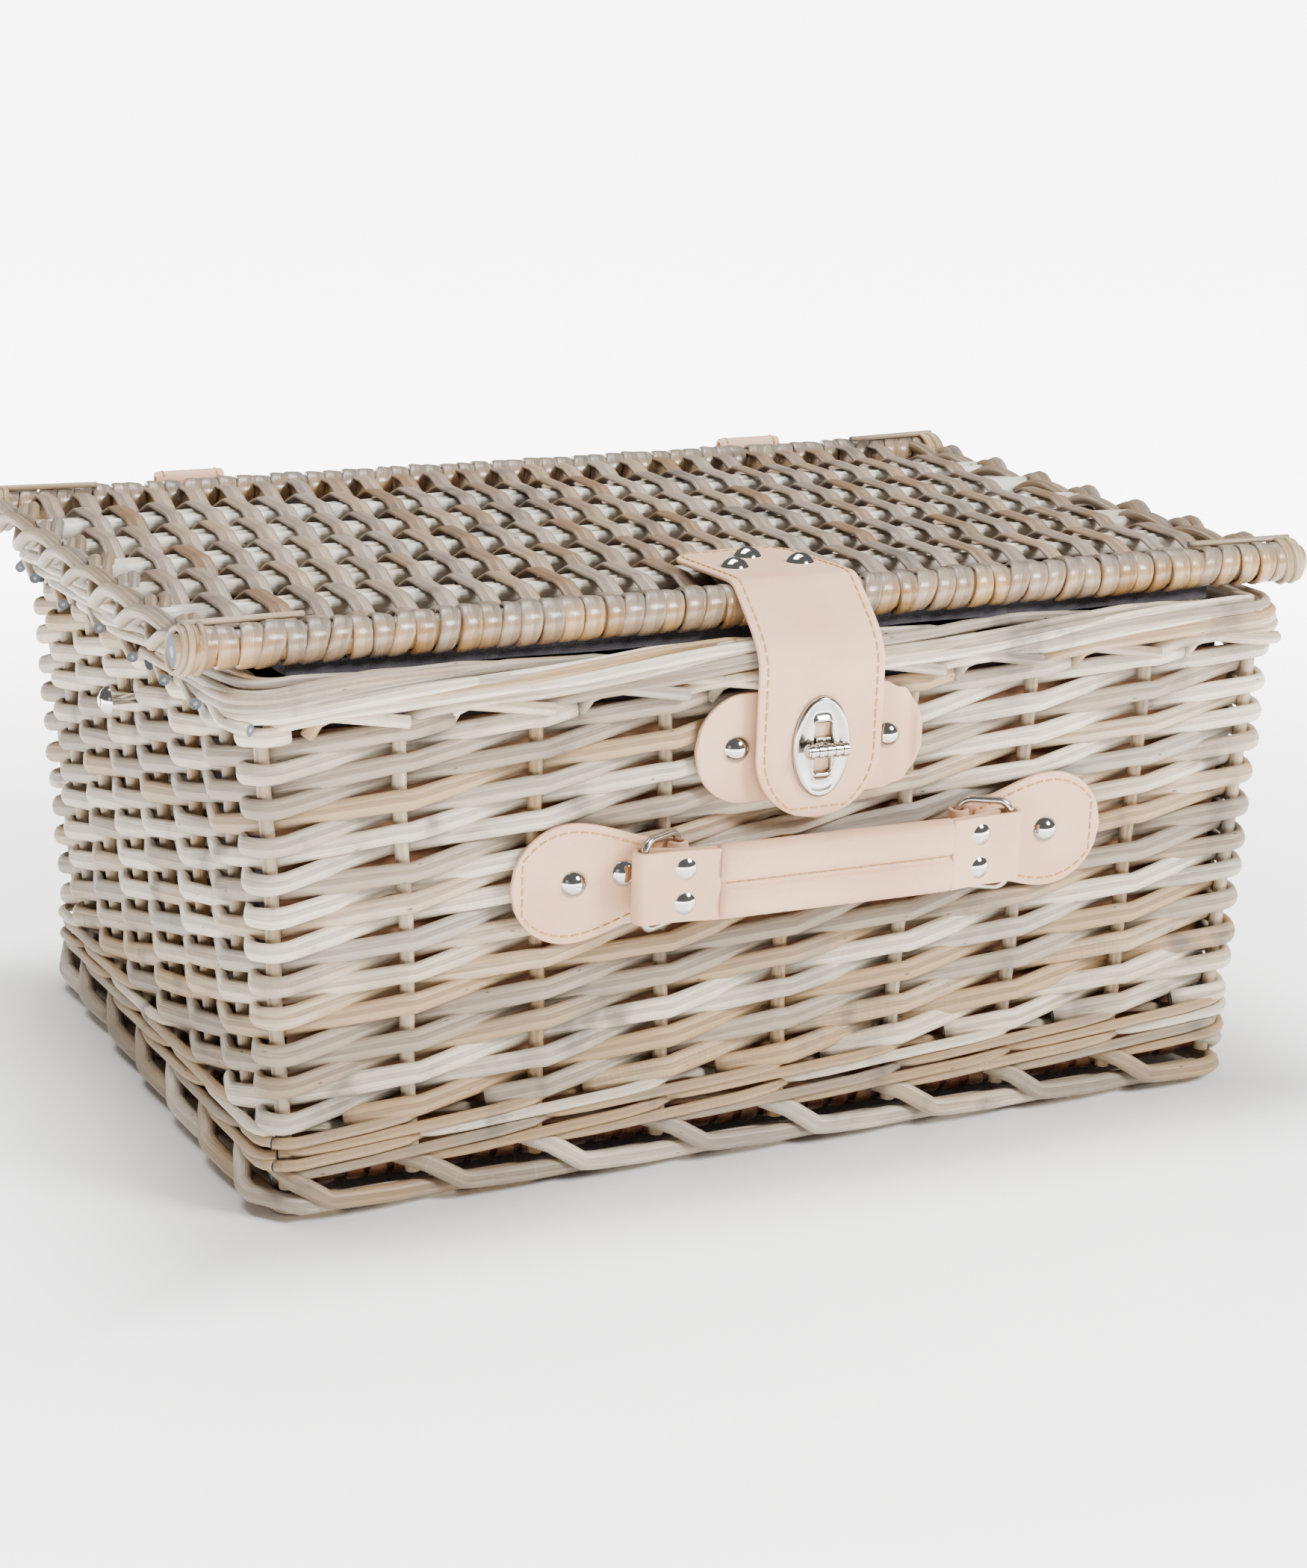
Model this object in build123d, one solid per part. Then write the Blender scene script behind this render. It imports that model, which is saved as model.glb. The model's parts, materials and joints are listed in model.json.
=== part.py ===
from build123d import *
import math
import os

# Woven willow picnic hamper: a randed box on upright stakes, a framed lid on two leather
# hinge bands, a strap with a turn lock, and a padded handle on two wire rings.
# Millimetres, +Z up, front towards -Y.

# ---- body of the basket
foot_length = 430.0
foot_depth = 331.0
foot_height = 12.0
foot_width = 15.6
wall_inset = 4.5
body_height = 204.0
flare = 9.0
stake_diameter = 7.5
weaver_thickness = 4.0
wale_bottom = 18.0
wale_row_height = 9.5
wale_bulge = 1.0
border_bottom = 190.0
border_top = 208.6
border_width = 21.0
border_bulge = 2.8
border_round = 6.0
front_stake_count = 9
front_stake_pitch = 51.2
side_stake_count = 6
side_stake_pitch = 47.0
base_thickness = 11.0
base_stick_diameter = 8.0
base_stick_count = 8
board_thickness = 1.5
lining_thickness = 1.2
lining_drop = 2.0

# ---- lid
lid_length = 476.0
lid_front = 157.0
lid_back = 165.8
edge_stick_diameter = 13.0
wrap_thickness = 1.8
edge_stick_height = 218.0
lid_weave_thickness = 14.4
lid_stick_diameter = 8.0
lid_bundle_count = 5
braid_width = 23.0
braid_height = 16.2
braid_round = 6.0
binding_thickness = 2.4
binding_length = 9.0
lid_lining_thickness = 1.2

# ---- leather and lock
leather = 2.2
strap_width = 52.5
strap_tab_length = 46.0
strap_bottom = 140.0
strap_offset = 6.0
strap_knee = 206.0
lock_x = 5.0
lock_height = 168.0
patch_length = 95.0
patch_height = 43.0
lock_plate_width = 24.0
lock_plate_height = 40.0
lock_plate_thickness = 1.6
slot_width = 9.0
slot_height = 24.0
lock_base_thickness = 2.0
post_width = 6.0
post_height = 8.0
knob_length = 17.0
knob_diameter = 6.0
knob_shaft_diameter = 3.2
knob_rib_count = 5
knob_groove = 0.5
lock_base_margin = 1.0
strap_pivot_angle = 165.0
tab_stud_rise = 38.0
tab_stud_drop = 20.0
tab_stud_spread = 28.0
stud_diameter = 11.0
stud_dome = 3.6
stud_shank = 3.0
stud_grip = 5.0

# ---- handle
handle_x = 9.0
handle_height = 122.0
tab_span = 120.0
tab_length = 66.0
tab_far_stud = 41.0
tab_near_stud = 20.5
tab_near_rise = 2.0
tab_height = 47.0
loop_height = 27.0
ring_wire = 3.0
ring_length = 20.0
ring_height = 35.0
ring_corner = 5.0
ring_angle = 28.0
grip_span = 104.0
grip_height = 29.0
grip_thickness = 13.0
grip_offset = 17.8
core_diameter = 9.0
rivet_diameter = 9.2

# ---- rear hinge bands and side studs
band_width = 31.0
band_spacing = 280.0
band_bottom = 150.0
band_arch = 228.0
side_stud_diameter = 12.0
side_stud_shank = 4.0
side_stud_stand = 13.0
side_stud_height = 170.0
side_stud_y = -16.0

# ---- clearances
touch_gap = 0.3
seat_gap = 0.1
running_gap = 0.05
eye_gap = 0.4
loose_gap = 0.9
hinge_gap = 0.5

half_length = foot_length / 2 - wall_inset
half_depth = foot_depth / 2 - wall_inset
wall_thickness = stake_diameter + 2 * weaver_thickness
wall_tilt = math.degrees(math.atan(flare / body_height))
weave_bottom = wale_bottom + 2 * wale_row_height
edge_radius = edge_stick_diameter / 2 + wrap_thickness
stick_front_y = -(lid_front - edge_radius)
stick_back_y = lid_back - edge_radius
eye_wall = leather + seat_gap
tab_eye_inner = ring_wire / 2 + eye_gap
tab_eye_outer = tab_eye_inner + eye_wall
end_eye_inner = ring_wire / 2 + loose_gap
end_eye_outer = end_eye_inner + leather

parts = {}


def grow(height):
    """How far the wall has leaned outward at a height."""
    return flare * height / body_height


def mitre(half_run, half_reach, width):
    """Wedge that trims a border length at its two corners."""
    outline = Polyline(
        (-(half_run + width), -(half_reach + width)),
        (half_run + width, -(half_reach + width)),
        (half_run - width, -(half_reach - width)),
        (-(half_run - width), -(half_reach - width)),
        close=True,
    )
    return extrude(make_face(outline), border_top + foot_height)


def panel(half_run, half_reach, cut_out, cut_in, low, high):
    """A leaning wall slab between two depths, with mitred ends, on the front side."""
    section = Polyline(
        (-(half_reach - cut_out + grow(low)), low),
        (-(half_reach - cut_in + grow(low)), low),
        (-(half_reach - cut_in + grow(high)), high),
        (-(half_reach - cut_out + grow(high)), high),
        close=True,
    )
    slab = extrude(Plane.YZ * make_face(section), half_run + border_width, both=True)
    return slab & mitre(half_run, half_reach, 2 * border_width)


def rod(start, end, radius):
    """A straight round stick between two points."""
    run = Vector(*end) - Vector(*start)
    axis = Plane(origin=start, z_dir=run)
    return axis * Cylinder(radius, run.length, align=(Align.CENTER, Align.CENTER, Align.MIN))


def stake(place, half_reach, low, high, radius):
    """One upright stake of the front side, at a place along the wall."""
    depth = half_reach - wall_thickness / 2
    start = (place, -(depth + grow(low)), low)
    end = (place, -(depth + grow(high)), high)
    return rod(start, end, radius)


def places(count, pitch):
    """Evenly spaced places either side of the middle."""
    return [(number - (count - 1) / 2) * pitch for number in range(count)]


side_turn = {"front": 0, "right": 90, "rear": 180, "left": -90}
side_size = {
    "front": (half_length, half_depth, places(front_stake_count, front_stake_pitch)),
    "rear": (half_length, half_depth, places(front_stake_count, front_stake_pitch)),
    "left": (half_depth, half_length, places(side_stake_count, side_stake_pitch)),
    "right": (half_depth, half_length, places(side_stake_count, side_stake_pitch)),
}


def wall_point(height, offset):
    """Y and Z of a point off the front wall's outer face."""
    tilt = math.radians(wall_tilt)
    y = -(half_depth + grow(height)) - offset * math.cos(tilt)
    return y, height - offset * math.sin(tilt)


def wall_frame(x, height, offset=0.0):
    """Plane on the front wall: x to the right, y up the wall, z straight out of it."""
    y, z = wall_point(height, offset)
    tilt = math.radians(wall_tilt)
    return Plane(origin=(x, y, z), x_dir=(1, 0, 0), z_dir=(0, -math.cos(tilt), -math.sin(tilt)))


def outward(profile, low, high):
    """A profile in a wall frame, made solid between two offsets."""
    return Pos(0, 0, low) * extrude(profile, high - low)


def band(points, width, middle_x):
    """Leather strip of full thickness along straight runs seen from the side."""
    strip = None
    for start, end in zip(points, points[1:]):
        run = (Vector(*end) - Vector(*start)).length
        angle = math.degrees(math.atan2(end[1] - start[1], end[0] - start[0]))
        centre = Pos((start[0] + end[0]) / 2, (start[1] + end[1]) / 2)
        piece = centre * Rot(Z=angle) * SlotCenterToCenter(run, leather)
        strip = piece if strip is None else strip + piece
    return Pos(middle_x, 0, 0) * extrude(Plane.YZ * strip, width / 2, both=True)


def bow(centre, radius, start, span, width, middle_x):
    """Leather strip bent round an arc seen from the side."""
    outer = CenterArc(centre, radius + leather / 2, start, span)
    inner = CenterArc(centre, radius - leather / 2, start, span)
    ends = [Line(outer @ 0, inner @ 0), Line(outer @ 1, inner @ 1)]
    profile = make_face([outer, inner] + ends)
    return Pos(middle_x, 0, 0) * extrude(Plane.YZ * profile, width / 2, both=True)


def dome(radius, rise):
    """Low domed head standing on z = 0."""
    ball = (radius**2 + rise**2) / (2 * rise)
    ceiling = Pos(0, 0, rise / 2) * Box(2 * radius, 2 * radius, rise)
    return Pos(0, 0, rise - ball) * Sphere(ball) & ceiling


def stud(seat):
    """Domed stud: its head on the seat plane and its shank behind it."""
    shank = Cylinder(stud_shank / 2, stud_grip, align=(Align.CENTER, Align.CENTER, Align.MAX))
    return seat * (dome(stud_diameter / 2, stud_dome) + shank)


def stud_hole(seat):
    """Hole that a stud's shank passes through."""
    reach = stud_grip + touch_gap
    bore = Cylinder(stud_shank / 2 + seat_gap, 2 * reach)
    return seat * bore


# ---- the four randed walls, their stakes and the two rows of waling
bores = []
for side, turn in side_turn.items():
    half_reach, stake_places = side_size[side][1:]
    radius = stake_diameter / 2
    sticks = [
        stake(place, half_reach, foot_height + touch_gap, border_bottom - touch_gap, radius)
        for place in stake_places
    ]
    parts[side + "_stakes"] = Rot(Z=turn) * Compound(sticks)
    bores += [
        Rot(Z=turn) * stake(place, half_reach, 0, border_top, radius + seat_gap)
        for place in stake_places
    ]
walls = {}
wall_holes = {side: [] for side in side_turn}
wales = {1: [], 2: []}
for side, turn in side_turn.items():
    half_run, half_reach = side_size[side][:2]
    walls[side] = panel(half_run, half_reach, 0, wall_thickness, weave_bottom, border_bottom)
    for row in wales:
        low = wale_bottom + (row - 1) * wale_row_height
        length = panel(half_run, half_reach, -wale_bulge, wall_thickness, low, low + wale_row_height)
        wales[row].append(Rot(Z=turn) * length - bores)
for row, lengths in wales.items():
    parts["wale_row_" + str(row)] = Compound(lengths)


# ---- foot border and rolled top border, each as four mitred lengths
def border_length(half_run, half_reach, width, low, high, rounding):
    """One straight length of a border with rounded edges, mitred at the corners."""
    profile = Pos(-half_reach + width / 2, (low + high) / 2) * RectangleRounded(width, high - low, rounding)
    bar = extrude(Plane.YZ * profile, half_run, both=True)
    return bar & mitre(half_run, half_reach, width)


def border_ring(reach_x, reach_y, width, low, high, rounding):
    """Four border lengths round the basket."""
    lengths = []
    for side, turn in side_turn.items():
        run, reach = (reach_x, reach_y) if side in ("front", "rear") else (reach_y, reach_x)
        lengths.append(Rot(Z=turn) * border_length(run, reach, width, low, high, rounding))
    return Compound(lengths)


parts["foot_border"] = border_ring(
    foot_length / 2, foot_depth / 2, foot_width, 0, foot_height, foot_height / 4
)
rim_x = half_length + grow(border_bottom) + border_bulge
rim_y = half_depth + grow(border_bottom) + border_bulge
parts["rim_border"] = border_ring(rim_x, rim_y, border_width, border_bottom, border_top, border_round)

# ---- woven base on its own sticks
base_x = half_length - wall_thickness / 2 - stake_diameter / 2
base_y = half_depth - wall_thickness / 2 - stake_diameter / 2
base_middle = wale_bottom - base_thickness / 2
base_pitch = (2 * base_y - 2 * base_stick_diameter) / (base_stick_count - 1)
base_rows = places(base_stick_count, base_pitch)
base_bores = [
    rod((-base_x, y, base_middle), (base_x, y, base_middle), base_stick_diameter / 2 + running_gap)
    for y in base_rows
]
base_slab = Pos(0, 0, base_middle) * Box(2 * base_x, 2 * base_y, base_thickness)
parts["base_weave"] = base_slab - base_bores
parts["base_sticks"] = Compound([
    rod((-base_x, y, base_middle), (base_x, y, base_middle), base_stick_diameter / 2)
    for y in base_rows
])

# ---- stiffening boards behind the long walls, and the fabric lining
board_outer = wall_thickness + seat_gap
board_inner = board_outer + board_thickness
lining_outer = board_inner + seat_gap
lining_inner = lining_outer + lining_thickness
lining_low = wale_bottom + touch_gap
lining_high = border_bottom - lining_drop
for side in ("front", "rear"):
    board = panel(
        half_length, half_depth, board_outer, board_inner,
        lining_low + lining_thickness, lining_high - lining_drop,
    )
    parts["liner_board_" + side] = Rot(Z=side_turn[side]) * board


def tapered_box(depth, low, high):
    """Solid that fills the inside of the walls at a depth behind their outer faces."""
    outlines = [
        Plane.XY.offset(height)
        * Rectangle(2 * (half_length + grow(height) - depth), 2 * (half_depth + grow(height) - depth))
        for height in (low, high)
    ]
    return loft(outlines, ruled=True)


parts["lining"] = tapered_box(lining_outer, lining_low, lining_high) - tapered_box(
    lining_inner, lining_low + lining_thickness, lining_high + lining_drop
)

# ---- lid frame: two wrapped edge sticks, bundles of lengthwise sticks, braided ends
half_lid = lid_length / 2
wrap_half = half_lid - binding_length - 2 * touch_gap - binding_length
for name, y in (("front", stick_front_y), ("back", stick_back_y)):
    ends = (-half_lid, y, edge_stick_height), (half_lid, y, edge_stick_height)
    wrapped = (-wrap_half, y, edge_stick_height), (wrap_half, y, edge_stick_height)
    parts["lid_" + name + "_stick"] = rod(*ends, edge_stick_diameter / 2)
    hollow = rod(*ends, edge_stick_diameter / 2 + running_gap)
    parts["lid_" + name + "_wrap"] = rod(*wrapped, edge_radius) - hollow

bindings = []
for y in (stick_front_y, stick_back_y):
    for end in (-1, 1):
        near = (end * (wrap_half + touch_gap), y, edge_stick_height)
        far = (end * (wrap_half + touch_gap + binding_length), y, edge_stick_height)
        collar = rod(near, far, edge_stick_diameter / 2 + running_gap + binding_thickness)
        bindings.append(collar - rod(near, far, edge_stick_diameter / 2 + running_gap))
parts["lid_corner_bindings"] = Compound(bindings)

frame_reach = max(edge_radius, edge_stick_diameter / 2 + running_gap + binding_thickness) + touch_gap
panel_front = stick_front_y + frame_reach
panel_back = stick_back_y - frame_reach
panel_middle = (panel_front + panel_back) / 2
panel_depth = panel_back - panel_front
braid_x = half_lid - braid_width
bundle_pitch = panel_depth / (lid_bundle_count + 1)
lid_rods = []
lid_bores = []
for y in places(lid_bundle_count, bundle_pitch):
    for twin in (-1, 1):
        row = panel_middle + y + twin * (lid_stick_diameter / 2 + touch_gap)
        ends = (-half_lid + braid_width / 2, row, edge_stick_height)
        far_ends = (half_lid - braid_width / 2, row, edge_stick_height)
        lid_rods.append(rod(ends, far_ends, lid_stick_diameter / 2))
        lid_bores.append(rod(ends, far_ends, lid_stick_diameter / 2 + seat_gap))
parts["lid_cross_sticks"] = Compound(lid_rods)
weave_slab = Box(2 * braid_x, panel_depth, lid_weave_thickness)
parts["lid_weave"] = Pos(0, panel_middle, edge_stick_height) * weave_slab - lid_bores
braid_middle = border_top + touch_gap + braid_height / 2
for name, end in (("left", -1), ("right", 1)):
    profile = RectangleRounded(braid_width, braid_height, braid_round)
    bar = extrude(Plane.XZ * profile, panel_depth / 2, both=True)
    bar = Pos(end * (half_lid - braid_width / 2), panel_middle, braid_middle) * bar
    parts["lid_" + name + "_braid"] = bar - lid_bores
lining_top = edge_stick_height - lid_weave_thickness / 2 - touch_gap
parts["lid_lining"] = Pos(0, panel_middle, lining_top - lid_lining_thickness / 2) * Box(
    2 * braid_x - 2 * touch_gap, panel_depth, lid_lining_thickness
)

# ---- strap: a studded tab on the lid, and the flap that hangs from it over the front
strap_radius = edge_radius + touch_gap + leather / 2
pivot_y = stick_front_y + strap_radius * math.cos(math.radians(strap_pivot_angle))
pivot_z = edge_stick_height + strap_radius * math.sin(math.radians(strap_pivot_angle))
pivot_turn = math.degrees((leather + hinge_gap) / strap_radius)
tab_level = edge_stick_height + strap_radius
tab = band([(stick_front_y, tab_level), (stick_front_y + strap_tab_length, tab_level)], strap_width, lock_x)
tab += bow(
    (stick_front_y, edge_stick_height), strap_radius,
    90, strap_pivot_angle - 90 - pivot_turn, strap_width, lock_x,
)
tab_top = tab_level + leather / 2
tab_stud_places = [(0, tab_stud_rise)] + [(x, tab_stud_drop) for x in places(2, tab_stud_spread)]
tab_seats = [
    Plane(origin=(lock_x + x, stick_front_y + y, tab_top), z_dir=(0, 0, 1))
    for x, y in tab_stud_places
]
lid_studs = []
for seat in tab_seats:
    lid_studs.append(stud(seat))
    tab -= stud_hole(seat)
    parts["lid_weave"] -= stud_hole(seat)
parts["strap_tab"] = tab
parts["strap_tab_studs"] = Compound(lid_studs)

strap_middle = strap_offset + leather / 2
flap = band(
    [(pivot_y, pivot_z), wall_point(strap_knee, strap_middle), wall_point(strap_bottom, strap_middle)],
    strap_width, lock_x,
)
lock_frame = wall_frame(lock_x, lock_height)
round_end = strap_width / 2
end_centre = strap_bottom + round_end - lock_height
outline = Pos(0, end_centre) * Circle(round_end)
outline += Pos(0, end_centre + body_height / 2) * Rectangle(strap_width, body_height)
slot = Rectangle(slot_width, slot_height)
flap = flap & lock_frame * outward(outline, -body_height, body_height)
parts["strap_flap"] = flap - lock_frame * outward(slot, 0, body_height / 4)
plate_low = strap_offset + leather
plate_high = plate_low + lock_plate_thickness
oval = Ellipse(lock_plate_width / 2, lock_plate_height / 2)
rim = Rectangle(slot_width + 2 * lock_plate_thickness, slot_height + 2 * lock_plate_thickness)
plate = outward(oval - slot, plate_low, plate_high)
plate += outward(rim - slot, plate_low, plate_high + lock_plate_thickness / 2)
parts["lock_plate"] = lock_frame * plate
washer_thickness = lock_plate_thickness / 2
parts["lock_washer"] = lock_frame * outward(oval - slot, strap_offset - washer_thickness, strap_offset)

# ---- lock patch on the front wall, with the lock's base, post and turning knob
patch = outward(RectangleRounded(patch_length, patch_height, patch_height / 2 - seat_gap), 0, leather)
patch_reach = strap_width / 2 + stud_diameter / 2 + touch_gap
patch_seats = [wall_frame(lock_x + end * patch_reach, lock_height, leather) for end in (-1, 1)]
patch = lock_frame * patch
patch_studs = []
for seat in patch_seats:
    patch_studs.append(stud(seat))
    patch -= stud_hole(seat)
    wall_holes["front"].append(stud_hole(seat))
parts["lock_patch"] = patch
parts["lock_patch_studs"] = Compound(patch_studs)

post_low = leather + lock_base_thickness
post_high = plate_high + lock_plate_thickness / 2 + touch_gap
shaft_depth = post_high - leather - seat_gap
shaft_radius = knob_shaft_diameter / 2
base_oval = Ellipse(lock_plate_width / 2 - lock_base_margin, lock_plate_height / 2 - lock_base_margin)
base_plate = outward(base_oval, leather, post_low)
lock_post = outward(Rectangle(post_width, post_height), post_low, post_high)
lock_bore = outward(Circle(shaft_radius + running_gap), leather, post_high)
parts["lock_base"] = lock_frame * (base_plate + lock_post - lock_bore)
knob_middle = post_high + touch_gap + knob_diameter / 2
rib_pitch = knob_length / knob_rib_count
barrel = Rot(Y=90) * Cylinder(knob_diameter / 2 - knob_groove, knob_length)
for rib in places(knob_rib_count, rib_pitch):
    barrel += Pos(rib, 0, 0) * Rot(Y=90) * Cylinder(knob_diameter / 2, rib_pitch / 2)
knob = Pos(0, 0, knob_middle) * barrel
knob += outward(Circle(shaft_radius), post_high - shaft_depth, knob_middle)
parts["turn_knob"] = lock_frame * knob

# ---- handle: leather tabs on the wall, wire rings, strap ends and a padded grip
ring_turn = math.radians(ring_angle)
ring_reach = ring_length * math.cos(ring_turn)
ring_rise = ring_length * math.sin(ring_turn)
bar_offset = tab_eye_outer
outer_bar = bar_offset + ring_rise
end_run = tab_span / 2 + ring_reach - grip_span / 2
end_rise = grip_offset - outer_bar
end_length = math.hypot(end_run, end_rise)
end_angle = math.degrees(math.atan2(end_rise, end_run))
handle_frame = wall_frame(handle_x, handle_height)


def upright(radius, height):
    """Round bar standing along the wall's own up direction."""
    return Rot(X=90) * Cylinder(radius, height)


def tab_solid(hand):
    """Leather tab with a rounded outer end and an eye for the ring at its inner end."""
    wide = tab_height / 2
    far_circle = Pos(-(tab_length - wide), 0) * Circle(wide)
    near_end = Pos(-leather / 2, 0) * Rectangle(leather, loop_height)
    leaf = make_hull(far_circle.edges() + near_end.edges())
    solid = outward(leaf, 0, leather)
    solid += Pos(0, 0, bar_offset) * upright(tab_eye_outer, loop_height)
    solid -= Pos(0, 0, bar_offset) * upright(tab_eye_inner, loop_height)
    return place_hand(solid, hand)


def place_hand(solid, hand):
    """Put a left-hand handle piece, drawn from its tab's bar, on the left or right."""
    if hand > 0:
        solid = mirror(solid, Plane.YZ)
    return handle_frame * Pos(hand * tab_span / 2, 0, 0) * solid


def ring_solid(hand):
    """Rectangular wire ring, one bar in the tab's eye and the other in the strap's."""
    path = RectangleRounded(ring_length, ring_height, ring_corner).face().outer_wire()
    start = path @ 0
    section = Plane(origin=start, z_dir=path % 0) * Circle(ring_wire / 2)
    wire = Pos(-ring_length / 2, 0, 0) * sweep(section, path=path)
    return place_hand(Pos(0, 0, bar_offset) * Rot(Y=ring_angle) * wire, hand)


def strap_end_frame():
    """Frame at the ring's outer bar with x along the strap end, towards the grip."""
    return Pos(-ring_reach, 0, outer_bar) * Rot(Y=-end_angle)


def end_solid(hand):
    """Strap end folded round the ring's outer bar, up to its bend at the grip."""
    double = Rectangle(end_length, loop_height)
    leaf = Pos(end_length / 2, 0) * double
    solid = outward(leaf, -leather, leather)
    solid += upright(end_eye_outer, loop_height)
    solid += Pos(end_length, 0, 0) * upright(leather, loop_height)
    solid -= upright(end_eye_inner, loop_height)
    for seat in rivet_seats():
        solid -= seat * Cylinder(stud_shank / 2 + seat_gap, 4 * leather)
    return place_hand(strap_end_frame() * solid, hand)


def rivet_seats():
    """Where the two rivets sit on a strap end."""
    middle = (end_eye_inner + end_length + leather) / 2
    return [Pos(middle, rise, leather) for rise in (-loop_height / 4, loop_height / 4)]


def rivet_solids(hand):
    """Two domed rivets through the folded strap end."""
    shank = Cylinder(stud_shank / 2, 2 * leather, align=(Align.CENTER, Align.CENTER, Align.MAX))
    head = dome(rivet_diameter / 2, stud_dome / 2)
    return Compound([place_hand(strap_end_frame() * seat * (head + shank), hand) for seat in rivet_seats()])


tab_seat_places = ((-tab_far_stud, 0.0), (-tab_near_stud, tab_near_rise))
tab_studs = []
for hand, name in ((-1, "left"), (1, "right")):
    piece = tab_solid(hand)
    for along, up in tab_seat_places:
        seat = wall_frame(
            handle_x + hand * (tab_span / 2 - along), handle_height + up, leather
        )
        tab_studs.append(stud(seat))
        piece -= stud_hole(seat)
        wall_holes["front"].append(stud_hole(seat))
    parts["handle_tab_" + name] = piece
    parts["handle_ring_" + name] = ring_solid(hand)
    parts["handle_end_" + name] = end_solid(hand)
    parts["handle_rivets_" + name] = rivet_solids(hand)
parts["handle_tab_studs"] = Compound(tab_studs)

grip_length = grip_span - 2 * (leather + hinge_gap)
roll_up = grip_height / 4
roll_profile = Ellipse(grip_thickness / 2, roll_up + seat_gap)
grip = None
cores = []
for up in (-roll_up, roll_up):
    roll = extrude(Plane.YZ * (Pos(up, 0) * Rot(Z=90) * roll_profile), grip_length / 2, both=True)
    grip = roll if grip is None else grip + roll
for up in (-roll_up, roll_up):
    bore = Pos(0, up, 0) * Rot(Y=90) * Cylinder(core_diameter / 2 + running_gap, grip_length)
    core = Pos(0, up, 0) * Rot(Y=90) * Cylinder(core_diameter / 2, grip_length - 2 * touch_gap)
    grip -= bore
    cores.append(handle_frame * Pos(0, 0, grip_offset) * core)
parts["handle_grip"] = handle_frame * Pos(0, 0, grip_offset) * grip
parts["handle_cores"] = Compound(cores)

# ---- rear hinge bands: an arch on the lid, and a strip down the back of the basket
band_inner_y = lid_back + touch_gap + leather / 2
band_outer_y = rim_y + touch_gap + leather / 2
arch_radius = (band_outer_y - band_inner_y) / 2
arch_height = band_arch - arch_radius - leather / 2
hinge_y = band_outer_y
hinge_z = border_top + leather / 2 + hinge_gap
band_seats = []
band_lift = touch_gap + leather / 2
for name, x in (("left", -band_spacing / 2), ("right", band_spacing / 2)):
    arch = bow(((band_inner_y + band_outer_y) / 2, arch_height), arch_radius, 0, 180, band_width, x)
    arch += band([(band_inner_y, arch_height), (band_inner_y, hinge_z + leather)], band_width, x)
    arch += band([(band_outer_y, arch_height), (band_outer_y, hinge_z + leather + hinge_gap)], band_width, x)
    parts["hinge_band_upper_" + name] = arch
    bend = wall_point(border_bottom - border_width / 2, band_lift)
    foot = wall_point(band_bottom, band_lift)
    run = [(-band_outer_y, hinge_z - leather - hinge_gap), (-band_outer_y, border_bottom), bend, foot]
    strip = band(run, band_width, -x)
    for along in (-band_width / 4, band_width / 4):
        seat = wall_frame(along - x, band_bottom + stud_diameter, touch_gap + leather)
        strip -= stud_hole(seat)
        band_seats.append(seat)
    parts["hinge_band_lower_" + name] = Rot(Z=180) * strip
hinge_studs = []
for seat in band_seats:
    hinge_studs.append(Rot(Z=180) * stud(seat))
    wall_holes["rear"].append(stud_hole(seat))
parts["hinge_band_studs"] = Compound(hinge_studs)

# ---- mushroom studs through the two end walls
for name, end in (("left", -1), ("right", 1)):
    face = half_length + grow(side_stud_height)
    seat = Plane(
        origin=(end * face, side_stud_y, side_stud_height), x_dir=(0, end, 0), z_dir=(end, 0, 0)
    )
    shank = Cylinder(
        side_stud_shank / 2, side_stud_stand + wall_thickness, align=(Align.CENTER, Align.CENTER, Align.MIN)
    )
    head = Pos(0, 0, side_stud_stand - side_stud_shank) * dome(side_stud_diameter / 2, side_stud_shank)
    bore = Cylinder(side_stud_shank / 2 + seat_gap, 3 * wall_thickness)
    parts["side_stud_" + name] = seat * (Pos(0, 0, -wall_thickness) * shank + head)
    wall_holes[name].append(Rot(Z=-side_turn[name]) * (seat * bore))

for side, wall in walls.items():
    turn = side_turn[side]
    near_bores = [Rot(Z=-turn) * bore for bore in bores]
    parts[side + "_weave"] = Rot(Z=turn) * (wall - (near_bores + wall_holes[side]))

# ---- origin: middle of the underside of the whole hamper
whole = Compound([solid for shape in parts.values() for solid in shape.solids()]).bounding_box()
to_origin = Pos(-(whole.min.X + whole.max.X) / 2, -(whole.min.Y + whole.max.Y) / 2, -whole.min.Z)

os.makedirs("parts", exist_ok=True)
for name, shape in parts.items():
    solids = (to_origin * shape).solids()
    export_step(solids[0] if len(solids) == 1 else Compound(solids), "parts/" + name + ".step")

shift = to_origin.position
print("shift", [round(value, 3) for value in shift])
knob_point = wall_point(lock_height, knob_middle)
tab_bar = wall_point(handle_height, bar_offset)
bend = wall_point(handle_height, grip_offset)
print("lid hinge y z", round(hinge_y + shift.Y, 3), round(hinge_z, 3))
print("strap pivot y z", round(pivot_y + shift.Y, 3), round(pivot_z, 3))
print("knob x y z", lock_x, round(knob_point[0] + shift.Y, 3), round(knob_point[1], 3))
print("ring bars x", handle_x - tab_span / 2, handle_x + tab_span / 2)
print("ring bars y z", round(tab_bar[0] + shift.Y, 3), round(tab_bar[1], 3))
print("bends x", handle_x - grip_span / 2, handle_x + grip_span / 2)
print("bends y z", round(bend[0] + shift.Y, 3), round(bend[1], 3))
print("end length", end_length, "end angle", end_angle, "wall tilt", wall_tilt)
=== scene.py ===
import json
import math

import bpy
import numpy as np
from mathutils import Matrix, Vector


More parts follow.
